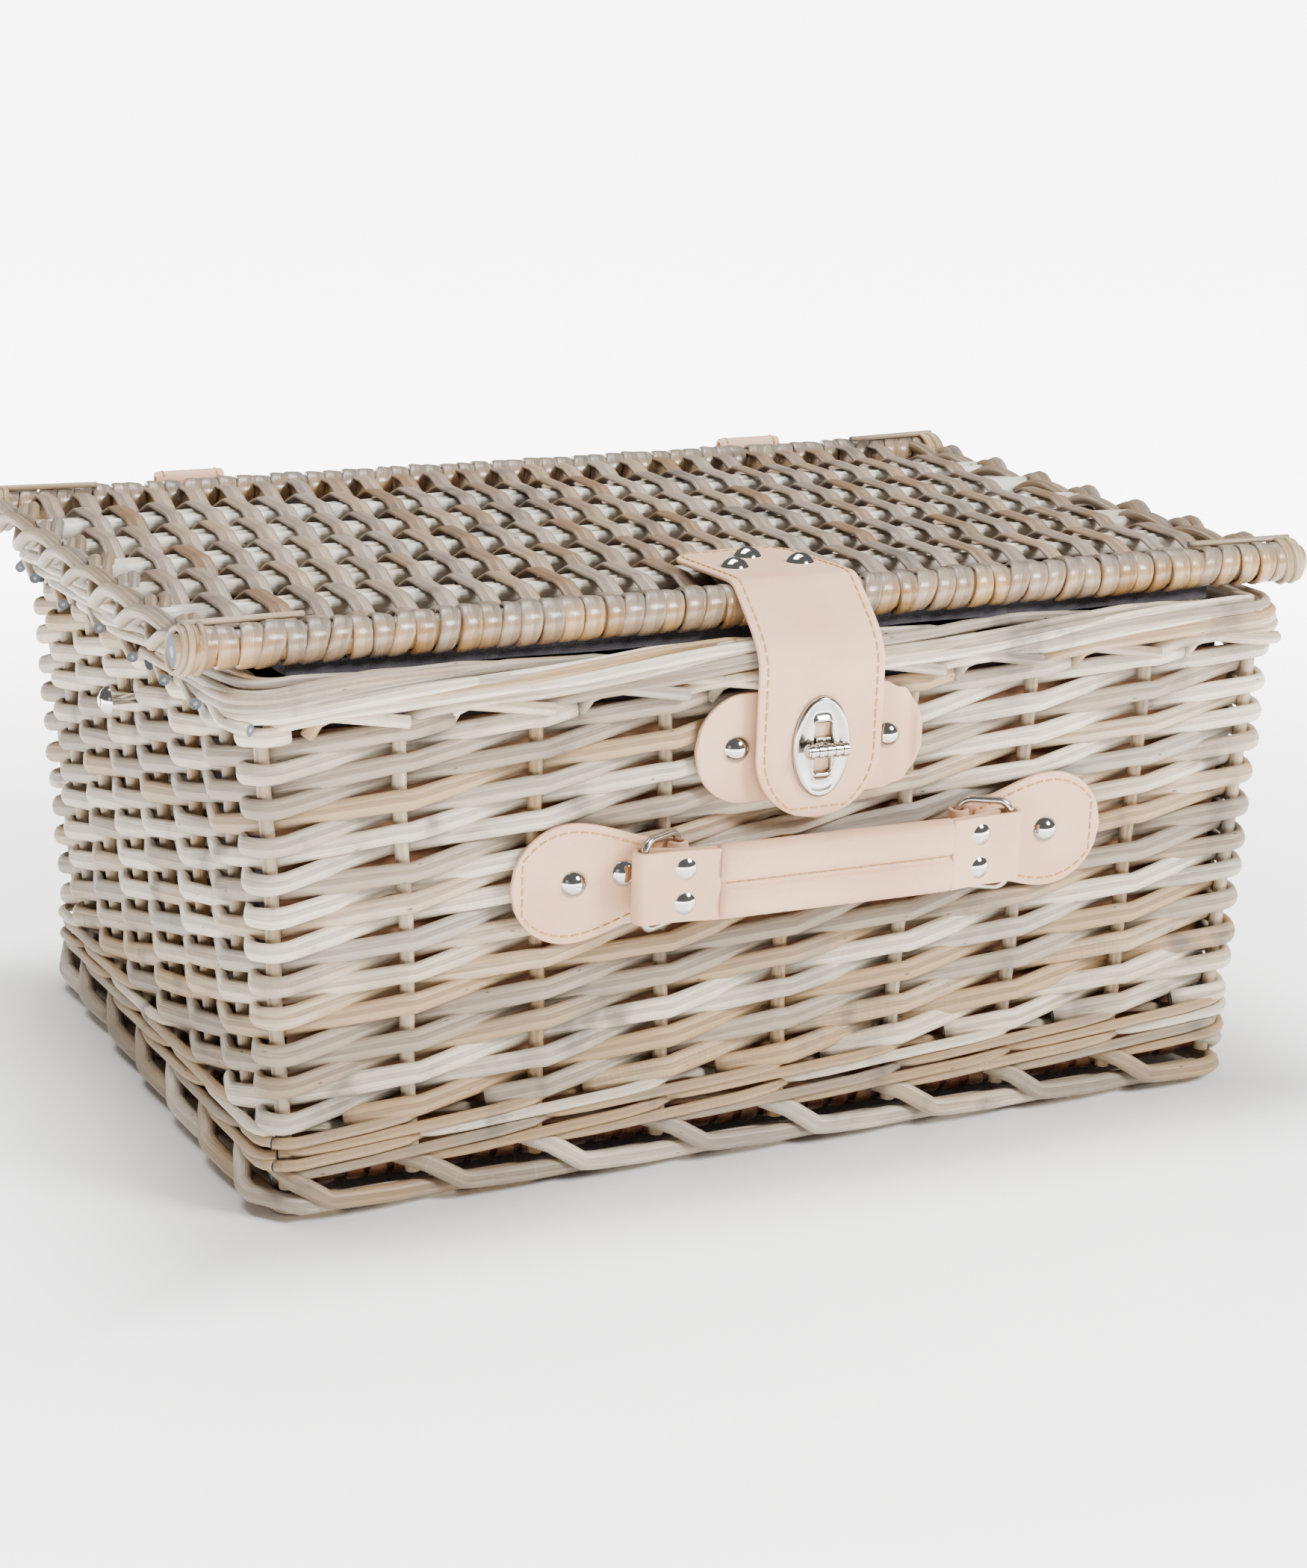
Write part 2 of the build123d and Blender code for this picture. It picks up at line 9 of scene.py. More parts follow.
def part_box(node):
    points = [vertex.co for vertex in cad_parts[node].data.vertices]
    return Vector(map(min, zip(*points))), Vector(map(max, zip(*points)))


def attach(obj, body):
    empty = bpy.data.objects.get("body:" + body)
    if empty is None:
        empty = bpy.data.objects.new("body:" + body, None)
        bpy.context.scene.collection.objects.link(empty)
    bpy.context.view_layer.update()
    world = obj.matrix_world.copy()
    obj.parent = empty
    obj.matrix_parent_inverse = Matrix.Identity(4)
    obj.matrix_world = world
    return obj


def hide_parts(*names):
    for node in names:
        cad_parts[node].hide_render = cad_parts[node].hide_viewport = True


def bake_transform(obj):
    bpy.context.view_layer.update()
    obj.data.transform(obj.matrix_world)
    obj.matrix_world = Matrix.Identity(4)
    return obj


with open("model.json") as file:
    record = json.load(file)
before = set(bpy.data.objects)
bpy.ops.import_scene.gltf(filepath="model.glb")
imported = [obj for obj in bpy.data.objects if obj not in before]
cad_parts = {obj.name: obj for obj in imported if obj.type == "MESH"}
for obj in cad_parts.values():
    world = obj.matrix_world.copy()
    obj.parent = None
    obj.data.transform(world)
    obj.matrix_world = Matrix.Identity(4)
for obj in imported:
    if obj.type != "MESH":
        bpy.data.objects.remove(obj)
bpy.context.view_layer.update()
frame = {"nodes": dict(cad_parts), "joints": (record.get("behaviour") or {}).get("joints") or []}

# ---- The studio: white paper with a painted glow that is brighter further off, under a soft light
# ---- from the right, a weaker one from the left and one above.
lens_stand = Vector((-0.5226, -1.1937, 0.4603))
lens_heading = math.radians(23.80)
lens_tilt = math.radians(15.10)
lens_roll = math.radians(0.519)
lens = bpy.data.cameras.new("lens")
lens.lens = 72.25
lens.sensor_width = 36.0
lens.shift_x = 0.0107
lens.shift_y = 0.0039
ahead = Vector((
    math.sin(lens_heading) * math.cos(lens_tilt),
    math.cos(lens_heading) * math.cos(lens_tilt),
    -math.sin(lens_tilt),
))
level = Vector((math.cos(lens_heading), -math.sin(lens_heading), 0.0))
upward = level.cross(ahead)
across = level * math.cos(lens_roll) + upward * math.sin(lens_roll)
upward = across.cross(ahead)
camera = bpy.data.objects.new("camera", lens)
bpy.context.scene.collection.objects.link(camera)
lens_turn = Matrix((across, upward, -ahead)).transposed().to_4x4()
camera.matrix_world = Matrix.Translation(lens_stand) @ lens_turn
bpy.context.scene.camera = camera


def softbox(name, place, aim, size, power):
    """A square soft light at a place, turned to a point."""
    light = bpy.data.lights.new(name, "AREA")
    light.shape = "RECTANGLE"
    light.size, light.size_y = size
    light.energy = power
    holder = bpy.data.objects.new(name, light)
    holder.location = place
    holder.rotation_euler = (Vector(aim) - Vector(place)).to_track_quat("-Z", "Y").to_euler()
    bpy.context.scene.collection.objects.link(holder)


softbox("key_light", (1.3, -1.9, 1.7), (0, 0, 0.1), (0.8, 0.8), 124)
softbox("fill_light", (-2.0, -1.4, 0.7), (0, 0, 0.1), (0.8, 1.0), 1.5)
softbox("top_light", (-0.2, 0.5, 2.2), (0, 0, 0.1), (1.8, 1.2), 84)
sky = bpy.data.worlds.new("sky")
sky.use_nodes = True
sky.node_tree.nodes["Background"].inputs["Color"].default_value = (1.0, 1.0, 1.0, 1.0)
sky.node_tree.nodes["Background"].inputs["Strength"].default_value = 0.2
bpy.context.scene.world = sky


# A number on its way through a finish: arithmetic on it adds Math nodes.
class Wire:
    def __init__(self, finish, socket):
        self.finish = finish
        self.socket = socket

    def maths(self, operation, *inputs):
        return self.finish.add("ShaderNodeMath", {"operation": operation}, dict(enumerate(inputs)))

    def __add__(self, other):
        return self.maths("ADD", self, other)

    def __radd__(self, other):
        return self.maths("ADD", other, self)

    def __sub__(self, other):
        return self.maths("SUBTRACT", self, other)

    def __rsub__(self, other):
        return self.maths("SUBTRACT", other, self)

    def __mul__(self, other):
        return self.maths("MULTIPLY", self, other)

    def __rmul__(self, other):
        return self.maths("MULTIPLY", other, self)

    def __pow__(self, other):
        return self.maths("POWER", self, other)

    def between(self, low, high):
        """0 below low, 1 above high, and a smooth rise from one to the other."""
        return self.finish.add(
            "ShaderNodeMapRange", {"interpolation_type": "SMOOTHSTEP"},
            {"Value": self, "From Min": low, "From Max": high},
        )


def shade(code):
    """A colour from its six-digit code, as the linear light that a shader works in."""
    parts = [int(code[place:place + 2], 16) / 255 for place in (0, 2, 4)]
    return (*[part / 12.92 if part <= 0.04045 else ((part + 0.055) / 1.055) ** 2.4 for part in parts], 1.0)


class Finish:
    """One material, with its nodes added one by one."""

    def __init__(self, name):
        self.material = bpy.data.materials.new(name)
        self.material.use_nodes = True
        self.nodes = self.material.node_tree.nodes
        self.shader = self.nodes["Principled BSDF"]

    def plug(self, socket, value):
        if isinstance(value, Wire):
            self.material.node_tree.links.new(value.socket, socket)
        else:
            socket.default_value = value

    def add(self, kind, settings, sockets, out=0):
        node = self.nodes.new(kind)
        for key, value in settings.items():
            setattr(node, key, value)
        for key, value in sockets.items():
            self.plug(node.inputs[key], value)
        return Wire(self, node.outputs[out])

    def surface(self, **sockets):
        for key, value in sockets.items():
            self.plug(self.shader.inputs[key.replace("_", " ")], value)

    def noise(self, place, scale, detail=2.0):
        return self.add("ShaderNodeTexNoise", {}, {"Vector": place, "Scale": scale, "Detail": detail})

    def blend(self, amount, first, second, mode="MIX"):
        settings = {"data_type": "RGBA", "blend_type": mode}
        return self.add("ShaderNodeMix", settings, {0: amount, 6: first, 7: second}, out=2)

    def stretch(self, place, by):
        return self.add("ShaderNodeVectorMath", {"operation": "MULTIPLY"}, {0: place, 1: by})

    def bumps(self, height, depth, strength=1.0):
        relief = self.add("ShaderNodeBump", {}, {"Height": height, "Distance": depth, "Strength": strength})
        self.surface(Normal=relief)


paper = Finish("paper")
paper_place = paper.add("ShaderNodeTexCoord", {}, {}, out="Object")
paper_reach = paper.add("ShaderNodeVectorMath", {"operation": "LENGTH"}, {0: paper_place}, out="Value")
paper_axes = [paper.add("ShaderNodeSeparateXYZ", {}, {0: paper_place}, out=axis) for axis in ("X", "Y")]
paper_side = paper_axes[0].maths("ABSOLUTE", paper_axes[0]) * 0.74
paper_front = paper_axes[1].maths("ABSOLUTE", paper_axes[1])
paper_clear = paper_side.maths("MAXIMUM", paper_side, paper_front).between(0.155, 0.24)
# Painted light: the paper's glow is nil close round the basket, a little just clear of it, and full white a
# metre or more off.
painted_paper_light = paper_clear * 0.22 + paper_reach.between(0.28, 1.3) * 0.78
painted_paper_glow = paper.blend(painted_paper_light, (0.0, 0.0, 0.0, 1.0), (1.0, 1.0, 1.0, 1.0))
paper.surface(
    Base_Color=(0.95, 0.95, 0.95, 1.0), Roughness=0.3, Emission_Color=painted_paper_glow, Emission_Strength=7.6,
)
sweep_mesh = bpy.data.meshes.new("paper_sweep")
sweep_mesh.from_pydata(
    [(-30, -9, 0), (30, -9, 0), (60, 90, 0), (-60, 90, 0)], [], [(0, 1, 2, 3)],
)
sweep_mesh.materials.append(paper.material)
sweep = bpy.data.objects.new("paper_sweep", sweep_mesh)
bpy.context.scene.collection.objects.link(sweep)

# ---- Upright stakes: peeled willow rods, nine in each long wall and six in each end wall.
# ---- They stand on the foot, lean out with the walls, and the two ends of a long wall's row
# ---- stand in the basket's corners.
foot_low, foot_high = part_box("foot_border")
middle_y = (foot_low.y + foot_high.y) / 2
wall_inset = 0.0045
wall_depth = 0.0155
line_x = (foot_high.x - foot_low.x) / 2 - wall_inset - wall_depth / 2
line_y = (foot_high.y - foot_low.y) / 2 - wall_inset - wall_depth / 2
lean = 0.009 / 0.204
long_stakes = np.linspace(-line_x + 0.001, line_x - 0.001, 9)
end_stakes = np.linspace(-0.1175, 0.1175, 6)
stake_radius = 0.0028
side_lengths = np.array([2 * line_x, 2 * line_y, 2 * line_x, 2 * line_y])
side_starts = np.concatenate([[0.0], np.cumsum(side_lengths)])
side_corners = np.array([(-line_x, -line_y), (line_x, -line_y), (line_x, line_y), (-line_x, line_y)])
side_runs = np.array([(1.0, 0.0), (0.0, 1.0), (-1.0, 0.0), (0.0, -1.0)])
side_outs = np.array([(0.0, -1.0), (1.0, 0.0), (0.0, 1.0), (-1.0, 0.0)])
stake_line = np.concatenate([
    side_starts[side] + side_lengths[side] / 2 + (long_stakes if side % 2 == 0 else end_stakes)
    for side in range(4)
])
chance = np.random.default_rng(7)


def round_walls(along, height, out, corner=0.007):
    """Places on the line of the stakes, measured round the basket from its front left corner,
    and the way out of the wall at each; the corners are rounded."""
    along = np.asarray(along, float) % side_starts[4]
    height = np.broadcast_to(np.asarray(height, float), along.shape)
    side = np.clip(np.searchsorted(side_starts, along, side="right") - 1, 0, 3)
    run = along - side_starts[side]
    left = side_lengths[side] - run
    turn = np.where(run < corner, run / corner - 1.0, np.where(left < corner, 1.0 - left / corner, 0.0))
    angle = turn * math.pi / 4
    facing = side_outs[side] * np.cos(angle)[:, None] + side_runs[side] * np.sin(angle)[:, None]
    clipped = np.clip(run, corner, side_lengths[side] - corner)
    place = side_corners[side] + side_runs[side] * clipped[:, None]
    bent = (facing - side_outs[side]) * corner
    near_start = (turn < 0)[:, None]
    near_end = (turn > 0)[:, None]
    place = np.where(near_start | near_end, place + bent, place)
    spread = 1 + lean * height[:, None] / np.array([line_x, line_y])
    place = place * spread + facing * np.broadcast_to(out, along.shape)[:, None]
    points = np.column_stack([place[:, 0], place[:, 1] + middle_y, height])
    return points, np.column_stack([facing, np.zeros(len(along))])


def stand(mesh, body, nodes):
    """Stands a mesh in the scene as a piece of the object."""
    piece = bpy.data.objects.new(mesh.name, mesh)
    bpy.context.scene.collection.objects.link(piece)
    if body:
        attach(piece, body)
    if nodes:
        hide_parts(*nodes)
    return piece


class Withies:
    """Gathers bent rods, strips and straps into one mesh, each with its grain along it."""

    def __init__(self):
        self.points = []
        self.faces = []
        self.kinds = []
        self.grain = []
        self.count = 0

    def bend(self, path, wide, thick, facing, sides=10, square=1.0):
        """Adds one piece along a path: half sizes across it and along facing, and 1 for a round
        section or less for a squarer one. Its two ends are cut flat."""
        path = np.asarray(path, float)
        facing = np.broadcast_to(np.asarray(facing, float), path.shape)
        wide = np.broadcast_to(np.asarray(wide, float), len(path))[:, None, None]
        thick = np.broadcast_to(np.asarray(thick, float), len(path))[:, None, None]
        run = np.gradient(path, axis=0)
        run /= np.linalg.norm(run, axis=1)[:, None] + 1e-12
        front = facing - run * np.sum(facing * run, axis=1)[:, None]
        front /= np.linalg.norm(front, axis=1)[:, None] + 1e-12
        cross = np.cross(run, front)
        angle = np.arange(sides) * 2 * math.pi / sides
        over = np.sign(np.cos(angle)) * np.abs(np.cos(angle)) ** square
        beside = np.sign(np.sin(angle)) * np.abs(np.sin(angle)) ** square
        rings = (
            path[:, None, :] + front[:, None, :] * thick * over[None, :, None]
            + cross[:, None, :] * wide * beside[None, :, None]
        )
        steps = np.concatenate([[0.0], np.cumsum(np.linalg.norm(np.diff(path, axis=0), axis=1))])
        tone = chance.uniform(0, 90)
        grain = np.empty((len(path), sides, 3))
        grain[:, :, 0] = steps[:, None]
        grain[:, :, 1] = (angle * float(np.mean(wide)))[None, :]
        grain[:, :, 2] = tone
        start = self.count
        self.points.append(rings.reshape(-1, 3))
        self.grain.append(grain.reshape(-1, 3))
        corner = start + np.arange(len(path) - 1)[:, None] * sides + np.arange(sides)[None, :]
        after = start + np.arange(len(path) - 1)[:, None] * sides + (np.arange(sides)[None, :] + 1) % sides
        quads = np.stack([corner, after, after + sides, corner + sides], axis=2).reshape(-1, 4)
        self.faces += quads.tolist()
        self.kinds += [0] * len(quads)
        self.count += len(path) * sides
        for end, order in ((0, -1), (len(path) - 1, 1)):
            self.points.append(path[end][None, :])
            self.grain.append(np.array([[-1.0, 0.0, tone]]))
            ring = start + end * sides
            rim = [(ring + step, ring + (step + 1) % sides)[::order] for step in range(sides)]
            self.faces += [[first, second, self.count] for first, second in rim]
            self.kinds += [1] * sides
            self.count += 1

    def make(self, name, body, nodes, finish, end_finish=None):
        """Turns what was gathered into a piece of the object."""
        mesh = bpy.data.meshes.new(name)
        mesh.from_pydata(np.concatenate(self.points).tolist(), [], self.faces)
        mesh.polygons.foreach_set("use_smooth", [kind == 0 for kind in self.kinds])
        grain = mesh.attributes.new("grain", "FLOAT_VECTOR", "POINT")
        grain.data.foreach_set("vector", np.concatenate(self.grain).ravel())
        mesh.materials.append(finish.material)
        if end_finish:
            mesh.materials.append(end_finish.material)
            mesh.polygons.foreach_set("material_index", self.kinds)
        mesh.update()
        return stand(mesh, body, nodes)


def willow(name, pale, warm, dull, gloss, wash=0.5, painted_sheen=None):
    """Willow with its bark off: each rod has its own tone, fine streaks along it, a grey
    wash in patches, a painted grey sheen above a given height, and small dark nodes."""
    finish = Finish(name)
    grain = finish.add("ShaderNodeAttribute", {"attribute_name": "grain"}, {}, out="Vector")
    rod = finish.add("ShaderNodeSeparateXYZ", {}, {0: grain}, out="Z")
    own = finish.add("ShaderNodeTexWhiteNoise", {"noise_dimensions": "1D"}, {"W": rod})
    other = finish.add("ShaderNodeTexWhiteNoise", {"noise_dimensions": "1D"}, {"W": rod + 0.5})
    place = finish.add("ShaderNodeTexCoord", {}, {}, out="Object")
    patches = finish.noise(finish.stretch(grain, (26.0, 70.0, 7.0)), 1.0, 3.0)
    streaks = finish.noise(finish.stretch(grain, (60.0, 1700.0, 9.0)), 1.0, 3.0)
    smudges = finish.noise(place, 38.0, 4.0)
    cells = finish.add(
        "ShaderNodeTexVoronoi", {},
        {"Vector": finish.stretch(grain, (70.0, 190.0, 3.0)), "Scale": 1.0},
    )
    colour = finish.blend((own * 1.1 + patches * 0.8).between(0.6, 1.2), shade(pale), shade(warm))
    colour = finish.blend((other * 0.8 + smudges * 1.0).between(0.65, 1.15) * wash, colour, shade(dull))
    # Painted sheen: above the given height the colour is blended towards grey, standing in for the sheen on
    # the tops.
    if painted_sheen:
        height = finish.add("ShaderNodeSeparateXYZ", {}, {0: place}, out="Z")
        colour = finish.blend((height + patches * 0.004).between(*painted_sheen) * 0.75, colour, shade(dull))
    colour = finish.blend(streaks.between(0.48, 0.74) * 0.5, colour, shade(dull))
    colour = finish.blend((smudges - 0.58).between(0.0, 0.13) * 0.6, colour, shade("5E564D"))
    colour = finish.blend((1 - cells.between(0.03, 0.11)) * 0.85, colour, shade("2E261F"))
    finish.surface(Base_Color=colour, Roughness=gloss + streaks * 0.25)
    finish.bumps(streaks + patches * 0.6, 0.00045, 0.8)
    return finish


body_willow = willow("body_willow", "DDD0BA", "A98A62", "857B6F", 0.34, wash=0.75)
stake_willow = willow("stake_willow", "C2AE90", "A08159", "8C8274", 0.36)

cut_end = Finish("cut_end")
cut_grain = cut_end.add("ShaderNodeAttribute", {"attribute_name": "grain"}, {}, out="Vector")
cut_reach = cut_end.add("ShaderNodeSeparateXYZ", {}, {0: cut_grain}, out="X")
cut_speckle = cut_end.noise(cut_end.add("ShaderNodeTexCoord", {}, {}, out="Object"), 900.0)
cut_wood = cut_end.blend(cut_speckle, shade("3C434C"), shade("676F79"))
cut_core = (cut_reach * -1.0).between(0.55, 0.75)
cut_end.surface(Base_Color=cut_end.blend(cut_core, cut_wood, shade("9C9A92")), Roughness=0.75)
cut_end.bumps(cut_speckle, 0.0004)

stake_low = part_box("front_stakes")[0].z
stake_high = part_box("front_stakes")[1].z
for side, name in enumerate(("front", "right", "rear", "left")):
    stakes = Withies()
    for along in stake_line[(stake_line >= side_starts[side]) & (stake_line < side_starts[side + 1])]:
        heights = np.linspace(stake_low, stake_high, 24)
        sway = 0.0006 * np.sin(heights * 60 + along * 31)
        points, facing = round_walls(along + sway, heights, 0.0)
        girth = stake_radius * (1.04 - 0.5 * (heights - stake_low))
        girth *= 1 + 0.03 * np.sin(heights * 140 + along * 77)
        stakes.bend(points, girth, girth, facing, sides=12)
    stakes.make(name + "_uprights", "basket", [name + "_stakes"], stake_willow, cut_end)

# ---- Randed walls: one round willow rod to each stake, all spiralling up together. Each goes
# ---- in front of one stake and behind the next, and climbs half a row from stake to stake.
row_height = 0.0133
weave_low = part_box("front_weave")[0].z + 0.0035
weave_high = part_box("front_weave")[1].z - 0.001
swing = 0.0054
rod_half_height = 0.0042
rod_half_depth = 0.0026
strokes = int((weave_high - weave_low) / (row_height / 2)) + 2
stake_count = len(stake_line)
walls = Withies()
steps = np.array([0.0, 0.03, 0.07, 0.12, 0.19, 0.28, 0.38, 0.48, 0.58, 0.68, 0.78, 0.86, 0.92, 0.96])
past = np.interp(steps, [0, 0.03, 0.12, 0.5, 0.93, 1.0], [0, 0.0, 0.10, 0.52, 0.97, 1.0])
climb = np.interp(steps, [0, 0.04, 0.5, 0.92, 1.0], [0, 0.0, 0.50, 0.97, 1.0])
for first in range(stake_count):
    along, heights, outs = [], [], []
    level_shift = chance.normal(0, 0.0007, strokes + 2)
    out_shift = chance.normal(0, 0.0004, strokes + 2)
    for stroke in range(-1, strokes + 1):
        turns, behind = divmod(first + stroke, stake_count)
        here = stake_line[behind] + side_starts[4] * turns
        turns, following = divmod(first + stroke + 1, stake_count)
        there = stake_line[following] + side_starts[4] * turns
        face = 1.0 if stroke % 2 == 0 else -1.0
        along.append(here + (there - here) * steps)
        heights.append(
            weave_low + row_height / 2 * (stroke + climb)
            + level_shift[stroke] * (1 - steps) + level_shift[stroke + 1] * steps
        )
        outs.append(
            face * (1 - 2 * past) * swing + out_shift[stroke] * (1 - steps) + out_shift[stroke + 1] * steps
        )
    along, heights, outs = (np.concatenate(values) for values in (along, heights, outs))
    keep = (heights > weave_low - 0.004) & (heights < weave_high)
    points, facing = round_walls(along[keep], heights[keep], outs[keep])
    taper = np.linspace(1.06, 0.92, len(points)) * chance.uniform(0.92, 1.05)
    taper *= 1 + 0.05 * np.sin(np.arange(len(points)) * 0.37 + first)
    walls.bend(points, rod_half_height * taper, rod_half_depth * taper, facing, sides=12)
walls.make(
    "randed_walls", "basket",
    ["front_weave", "right_weave", "rear_weave", "left_weave"], body_willow, cut_end,
)

# ---- Waling: two rows of three thin rods, each passing in front of two stakes and behind
# ---- one and rising as it goes, so that the rows lie like the turns of a rope.
wale_radius = 0.0023
for row in (1, 2):
    wale_low, wale_high = (corner.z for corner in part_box("wale_row_" + str(row)))
    wale = Withies()
    for strand in range(3):
        along = np.linspace(0, side_starts[4], stake_count * 16)
        stake_marks = np.append(stake_line, side_starts[4] + stake_line[0])
        phase = ((np.interp(along, stake_marks, np.arange(stake_count + 1)) + strand + row) / 3) % 1.0
        outs = np.interp(
            phase, [0, 0.05, 0.13, 0.55, 0.64, 0.74, 0.86, 1.0],
            [0.0, 0.0042, 0.0056, 0.0068, 0.0052, -0.003, -0.0045, 0.0],
        )
        rises = np.interp(phase, [0, 0.68, 1.0], [-1, 1, -1])
        wander = 0.0005 * np.sin(along * 23 + strand * 2 + row)
        heights = (wale_low + wale_high) / 2 + rises * 0.0042 + wander
        points, facing = round_walls(along, heights, outs)
        wale.bend(points, wale_radius, wale_radius * 0.95, facing, sides=8)
    wale.make("waling_" + str(row), "basket", ["wale_row_" + str(row)], body_willow, cut_end)

# ---- Foot border: every stake's tail comes down at a slant, bends at the ground and runs
# ---- along under the next two, with its cut end left underneath.
foot_radius = 0.0038
foot = Withies()
for number, along in enumerate(stake_line):
    pitch = stake_line[(number + 1) % stake_count] - along
    pitch = pitch if pitch > 0 else pitch + side_starts[4]
    reach = 0.105 + chance.uniform(-0.006, 0.012)
    runs = np.array([-0.006, 0.004, 0.0125, 0.0150, 0.0185, 0.024, 0.04, 0.06, 0.08, 0.1]) / 0.1 * reach
    heights = np.array([0.0205, 0.0162, 0.0102, 0.0086, 0.0082, 0.0079, 0.0070, 0.0058, 0.0046, 0.0040])
    outs = np.array([0.0005, 0.0048, 0.0076, 0.0084, 0.0084, 0.0082, 0.0066, 0.0026, -0.0012, -0.0028])
    fine = np.concatenate([runs[:6], np.linspace(runs[6], reach, 18)])
    points, facing = round_walls(
        along + fine, np.interp(fine, runs, heights), np.interp(fine, runs, outs)
    )
    girth = foot_radius * np.linspace(1.0, 0.9, len(points)) * chance.uniform(0.94, 1.03)
    foot.bend(points, girth, girth, facing, sides=10)
foot.make("rolled_foot", "basket", ["foot_border"], body_willow, cut_end)

# ---- Base: flat brown skeins woven close across round brown sticks that run the basket's
# ---- length; both are seen through the space between the foot and the waling.
base_skein = willow("base_skein", "A8714A", "7E4A2B", "8A7460", 0.3, wash=0.2)
base_low, base_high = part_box("base_weave")
stick_low, stick_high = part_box("base_sticks")
stick_rows = np.linspace(stick_low.y + 0.004, stick_high.y - 0.004, 8)
stick_middle = (stick_low.z + stick_high.z) / 2
sticks = Withies()
for row in stick_rows:
    run = np.linspace(stick_low.x - 0.004, stick_high.x + 0.004, 30)
    points = np.column_stack([run, row + 0.0008 * np.sin(run * 35 + row * 90), np.full(30, stick_middle)])
    sticks.bend(points, 0.0038, 0.0038, (0, 0, 1), sides=10)
sticks.make("base_rods", "basket", ["base_sticks"], base_skein, cut_end)
base_weave = Withies()
skein_pitch = 0.0103
hook = np.linspace(0, math.pi, 9)
for number, x in enumerate(np.arange(base_low.x + 0.006, base_high.x - 0.004, skein_pitch)):
    run = np.linspace(stick_rows[0], stick_rows[-1], 80)
    beat = np.interp(run, stick_rows, np.arange(8) * math.pi)
    over = 1 if number % 2 == 0 else -1
    wave = over * np.clip(1.6 * np.cos(beat), -1, 1) * 0.0046
    path = np.column_stack([run, wave])
    near = np.column_stack([stick_rows[0] - 0.0048 * np.sin(hook), -over * 0.0046 * np.cos(hook)])
    far = np.column_stack([stick_rows[-1] + 0.0048 * np.sin(hook), -over * 0.0046 * np.cos(hook)])
    path = np.vstack([near[:-1], path, far[::-1][1:]])
    tilt = chance.uniform(-0.002, 0.002)
    lean_over = np.concatenate([np.linspace(tilt, 0, 8), np.zeros(80), np.linspace(0, tilt, 8)])
    points = np.column_stack([x + lean_over, path[:, 0], stick_middle + path[:, 1]])
    facing = np.cross((1.0, 0.0, 0.0), np.gradient(points, axis=0))
    base_weave.bend(points, 0.0035, 0.0007, facing, sides=10, square=0.6)
base_weave.make("base_skeins", "basket", ["base_weave"], base_skein, cut_end)

# ---- Top border: each stake and the rod beside it are laid down to the right and carried up
# ---- over the tops of the next ones in a shallow slant, then tucked down inside. The tips
# ---- that finish outside are cut off slanting, just under the border.
rim_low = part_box("rim_border")[0]
border = Withies()
rail = rim_low.z
for number, along in enumerate(stake_line):
    for twin in (0, 1):
        share = np.linspace(0, 1, 70)
        knots = [0.0, 0.012, 0.035, 0.08, 0.2, 0.38, 0.56, 0.7, 0.84, 0.95, 1.0]
        outs = [0.0, 0.0015, 0.0052, 0.0078, 0.0088, 0.0080, 0.0050, 0.0, -0.0052, -0.0086, -0.0095]
        rises = [-0.004, 0.0, 0.0028, 0.0046, 0.0066, 0.0104, 0.0142, 0.0162, 0.0148, 0.0095, 0.0062]
        if twin:
            inward = [0.0, 0.001, 0.001, 0.0008, 0.0006, 0.0006, 0.0006, 0.001, 0.001, 0.0, 0.0]
            outs = np.subtract(outs, inward)
            beside = [0.0, 0.001, 0.002, 0.003, 0.0036, 0.003, 0.0016, 0.0004, -0.001, -0.002, -0.003]
            rises = np.add(rises, beside)
        wander = 0.0011 * np.sin(share * 11 + number * 2.1 + twin) + chance.normal(0, 0.0006)
        length = 0.250 + chance.uniform(-0.025, 0.025)
        heights = rail + np.interp(share, knots, rises) + wander * np.sin(share * math.pi)
        points, facing = round_walls(
            along + twin * 0.017 + share * length, heights, np.interp(share, knots, outs) + wander * 0.4,
            corner=0.009,
        )
        girth = np.interp(share, [0, 0.06, 0.4, 1.0], [0.0027, 0.0025, 0.0022, 0.0018])
        border.bend(points, girth * chance.uniform(0.92, 1.07), girth, facing, sides=10)
    share = np.linspace(0, 1, 16)
    reach = 0.052 + chance.uniform(-0.006, 0.008)
    end_place = along + chance.uniform(-0.004, 0.011)
    drop = chance.uniform(-0.0015, 0.0012)
    points, facing = round_walls(
        end_place - reach * (1 - share), rail + 0.0095 - 0.0082 * share + drop,
        np.interp(share, [0, 0.35, 1.0], [-0.002, 0.0062, 0.0108]), corner=0.009,
    )
    girth = np.interp(share, [0, 1], [0.0024, 0.0023]) * chance.uniform(0.9, 1.1)
    border.bend(points, girth, girth, facing, sides=10)
border.make("rolled_border", "basket", ["rim_border"], body_willow, cut_end)

# ---- Lining: charcoal cloth sewn as an open box, that rises behind the border, and a
# ---- stiff brown board behind each long wall.
cloth_grey = Finish("cloth_grey")
cloth_place = cloth_grey.add("ShaderNodeTexCoord", {}, {}, out="Object")
thread_count = {"Vector": cloth_place, "Scale": 420.0, "Distortion": 0.4}
cloth_weft = cloth_grey.add("ShaderNodeTexWave", {"bands_direction": "X"}, thread_count)
cloth_warp = cloth_grey.add("ShaderNodeTexWave", {"bands_direction": "Z"}, thread_count)
cloth_fuzz = cloth_grey.noise(cloth_place, 240.0, 3.0)
cloth_grey.surface(
    Base_Color=cloth_grey.blend(cloth_fuzz * 0.6 + cloth_weft * 0.2, shade("454248"), shade("7C777E")),
    Roughness=0.85,
)
cloth_grey.bumps(cloth_weft * cloth_warp, 0.0003, 0.6)
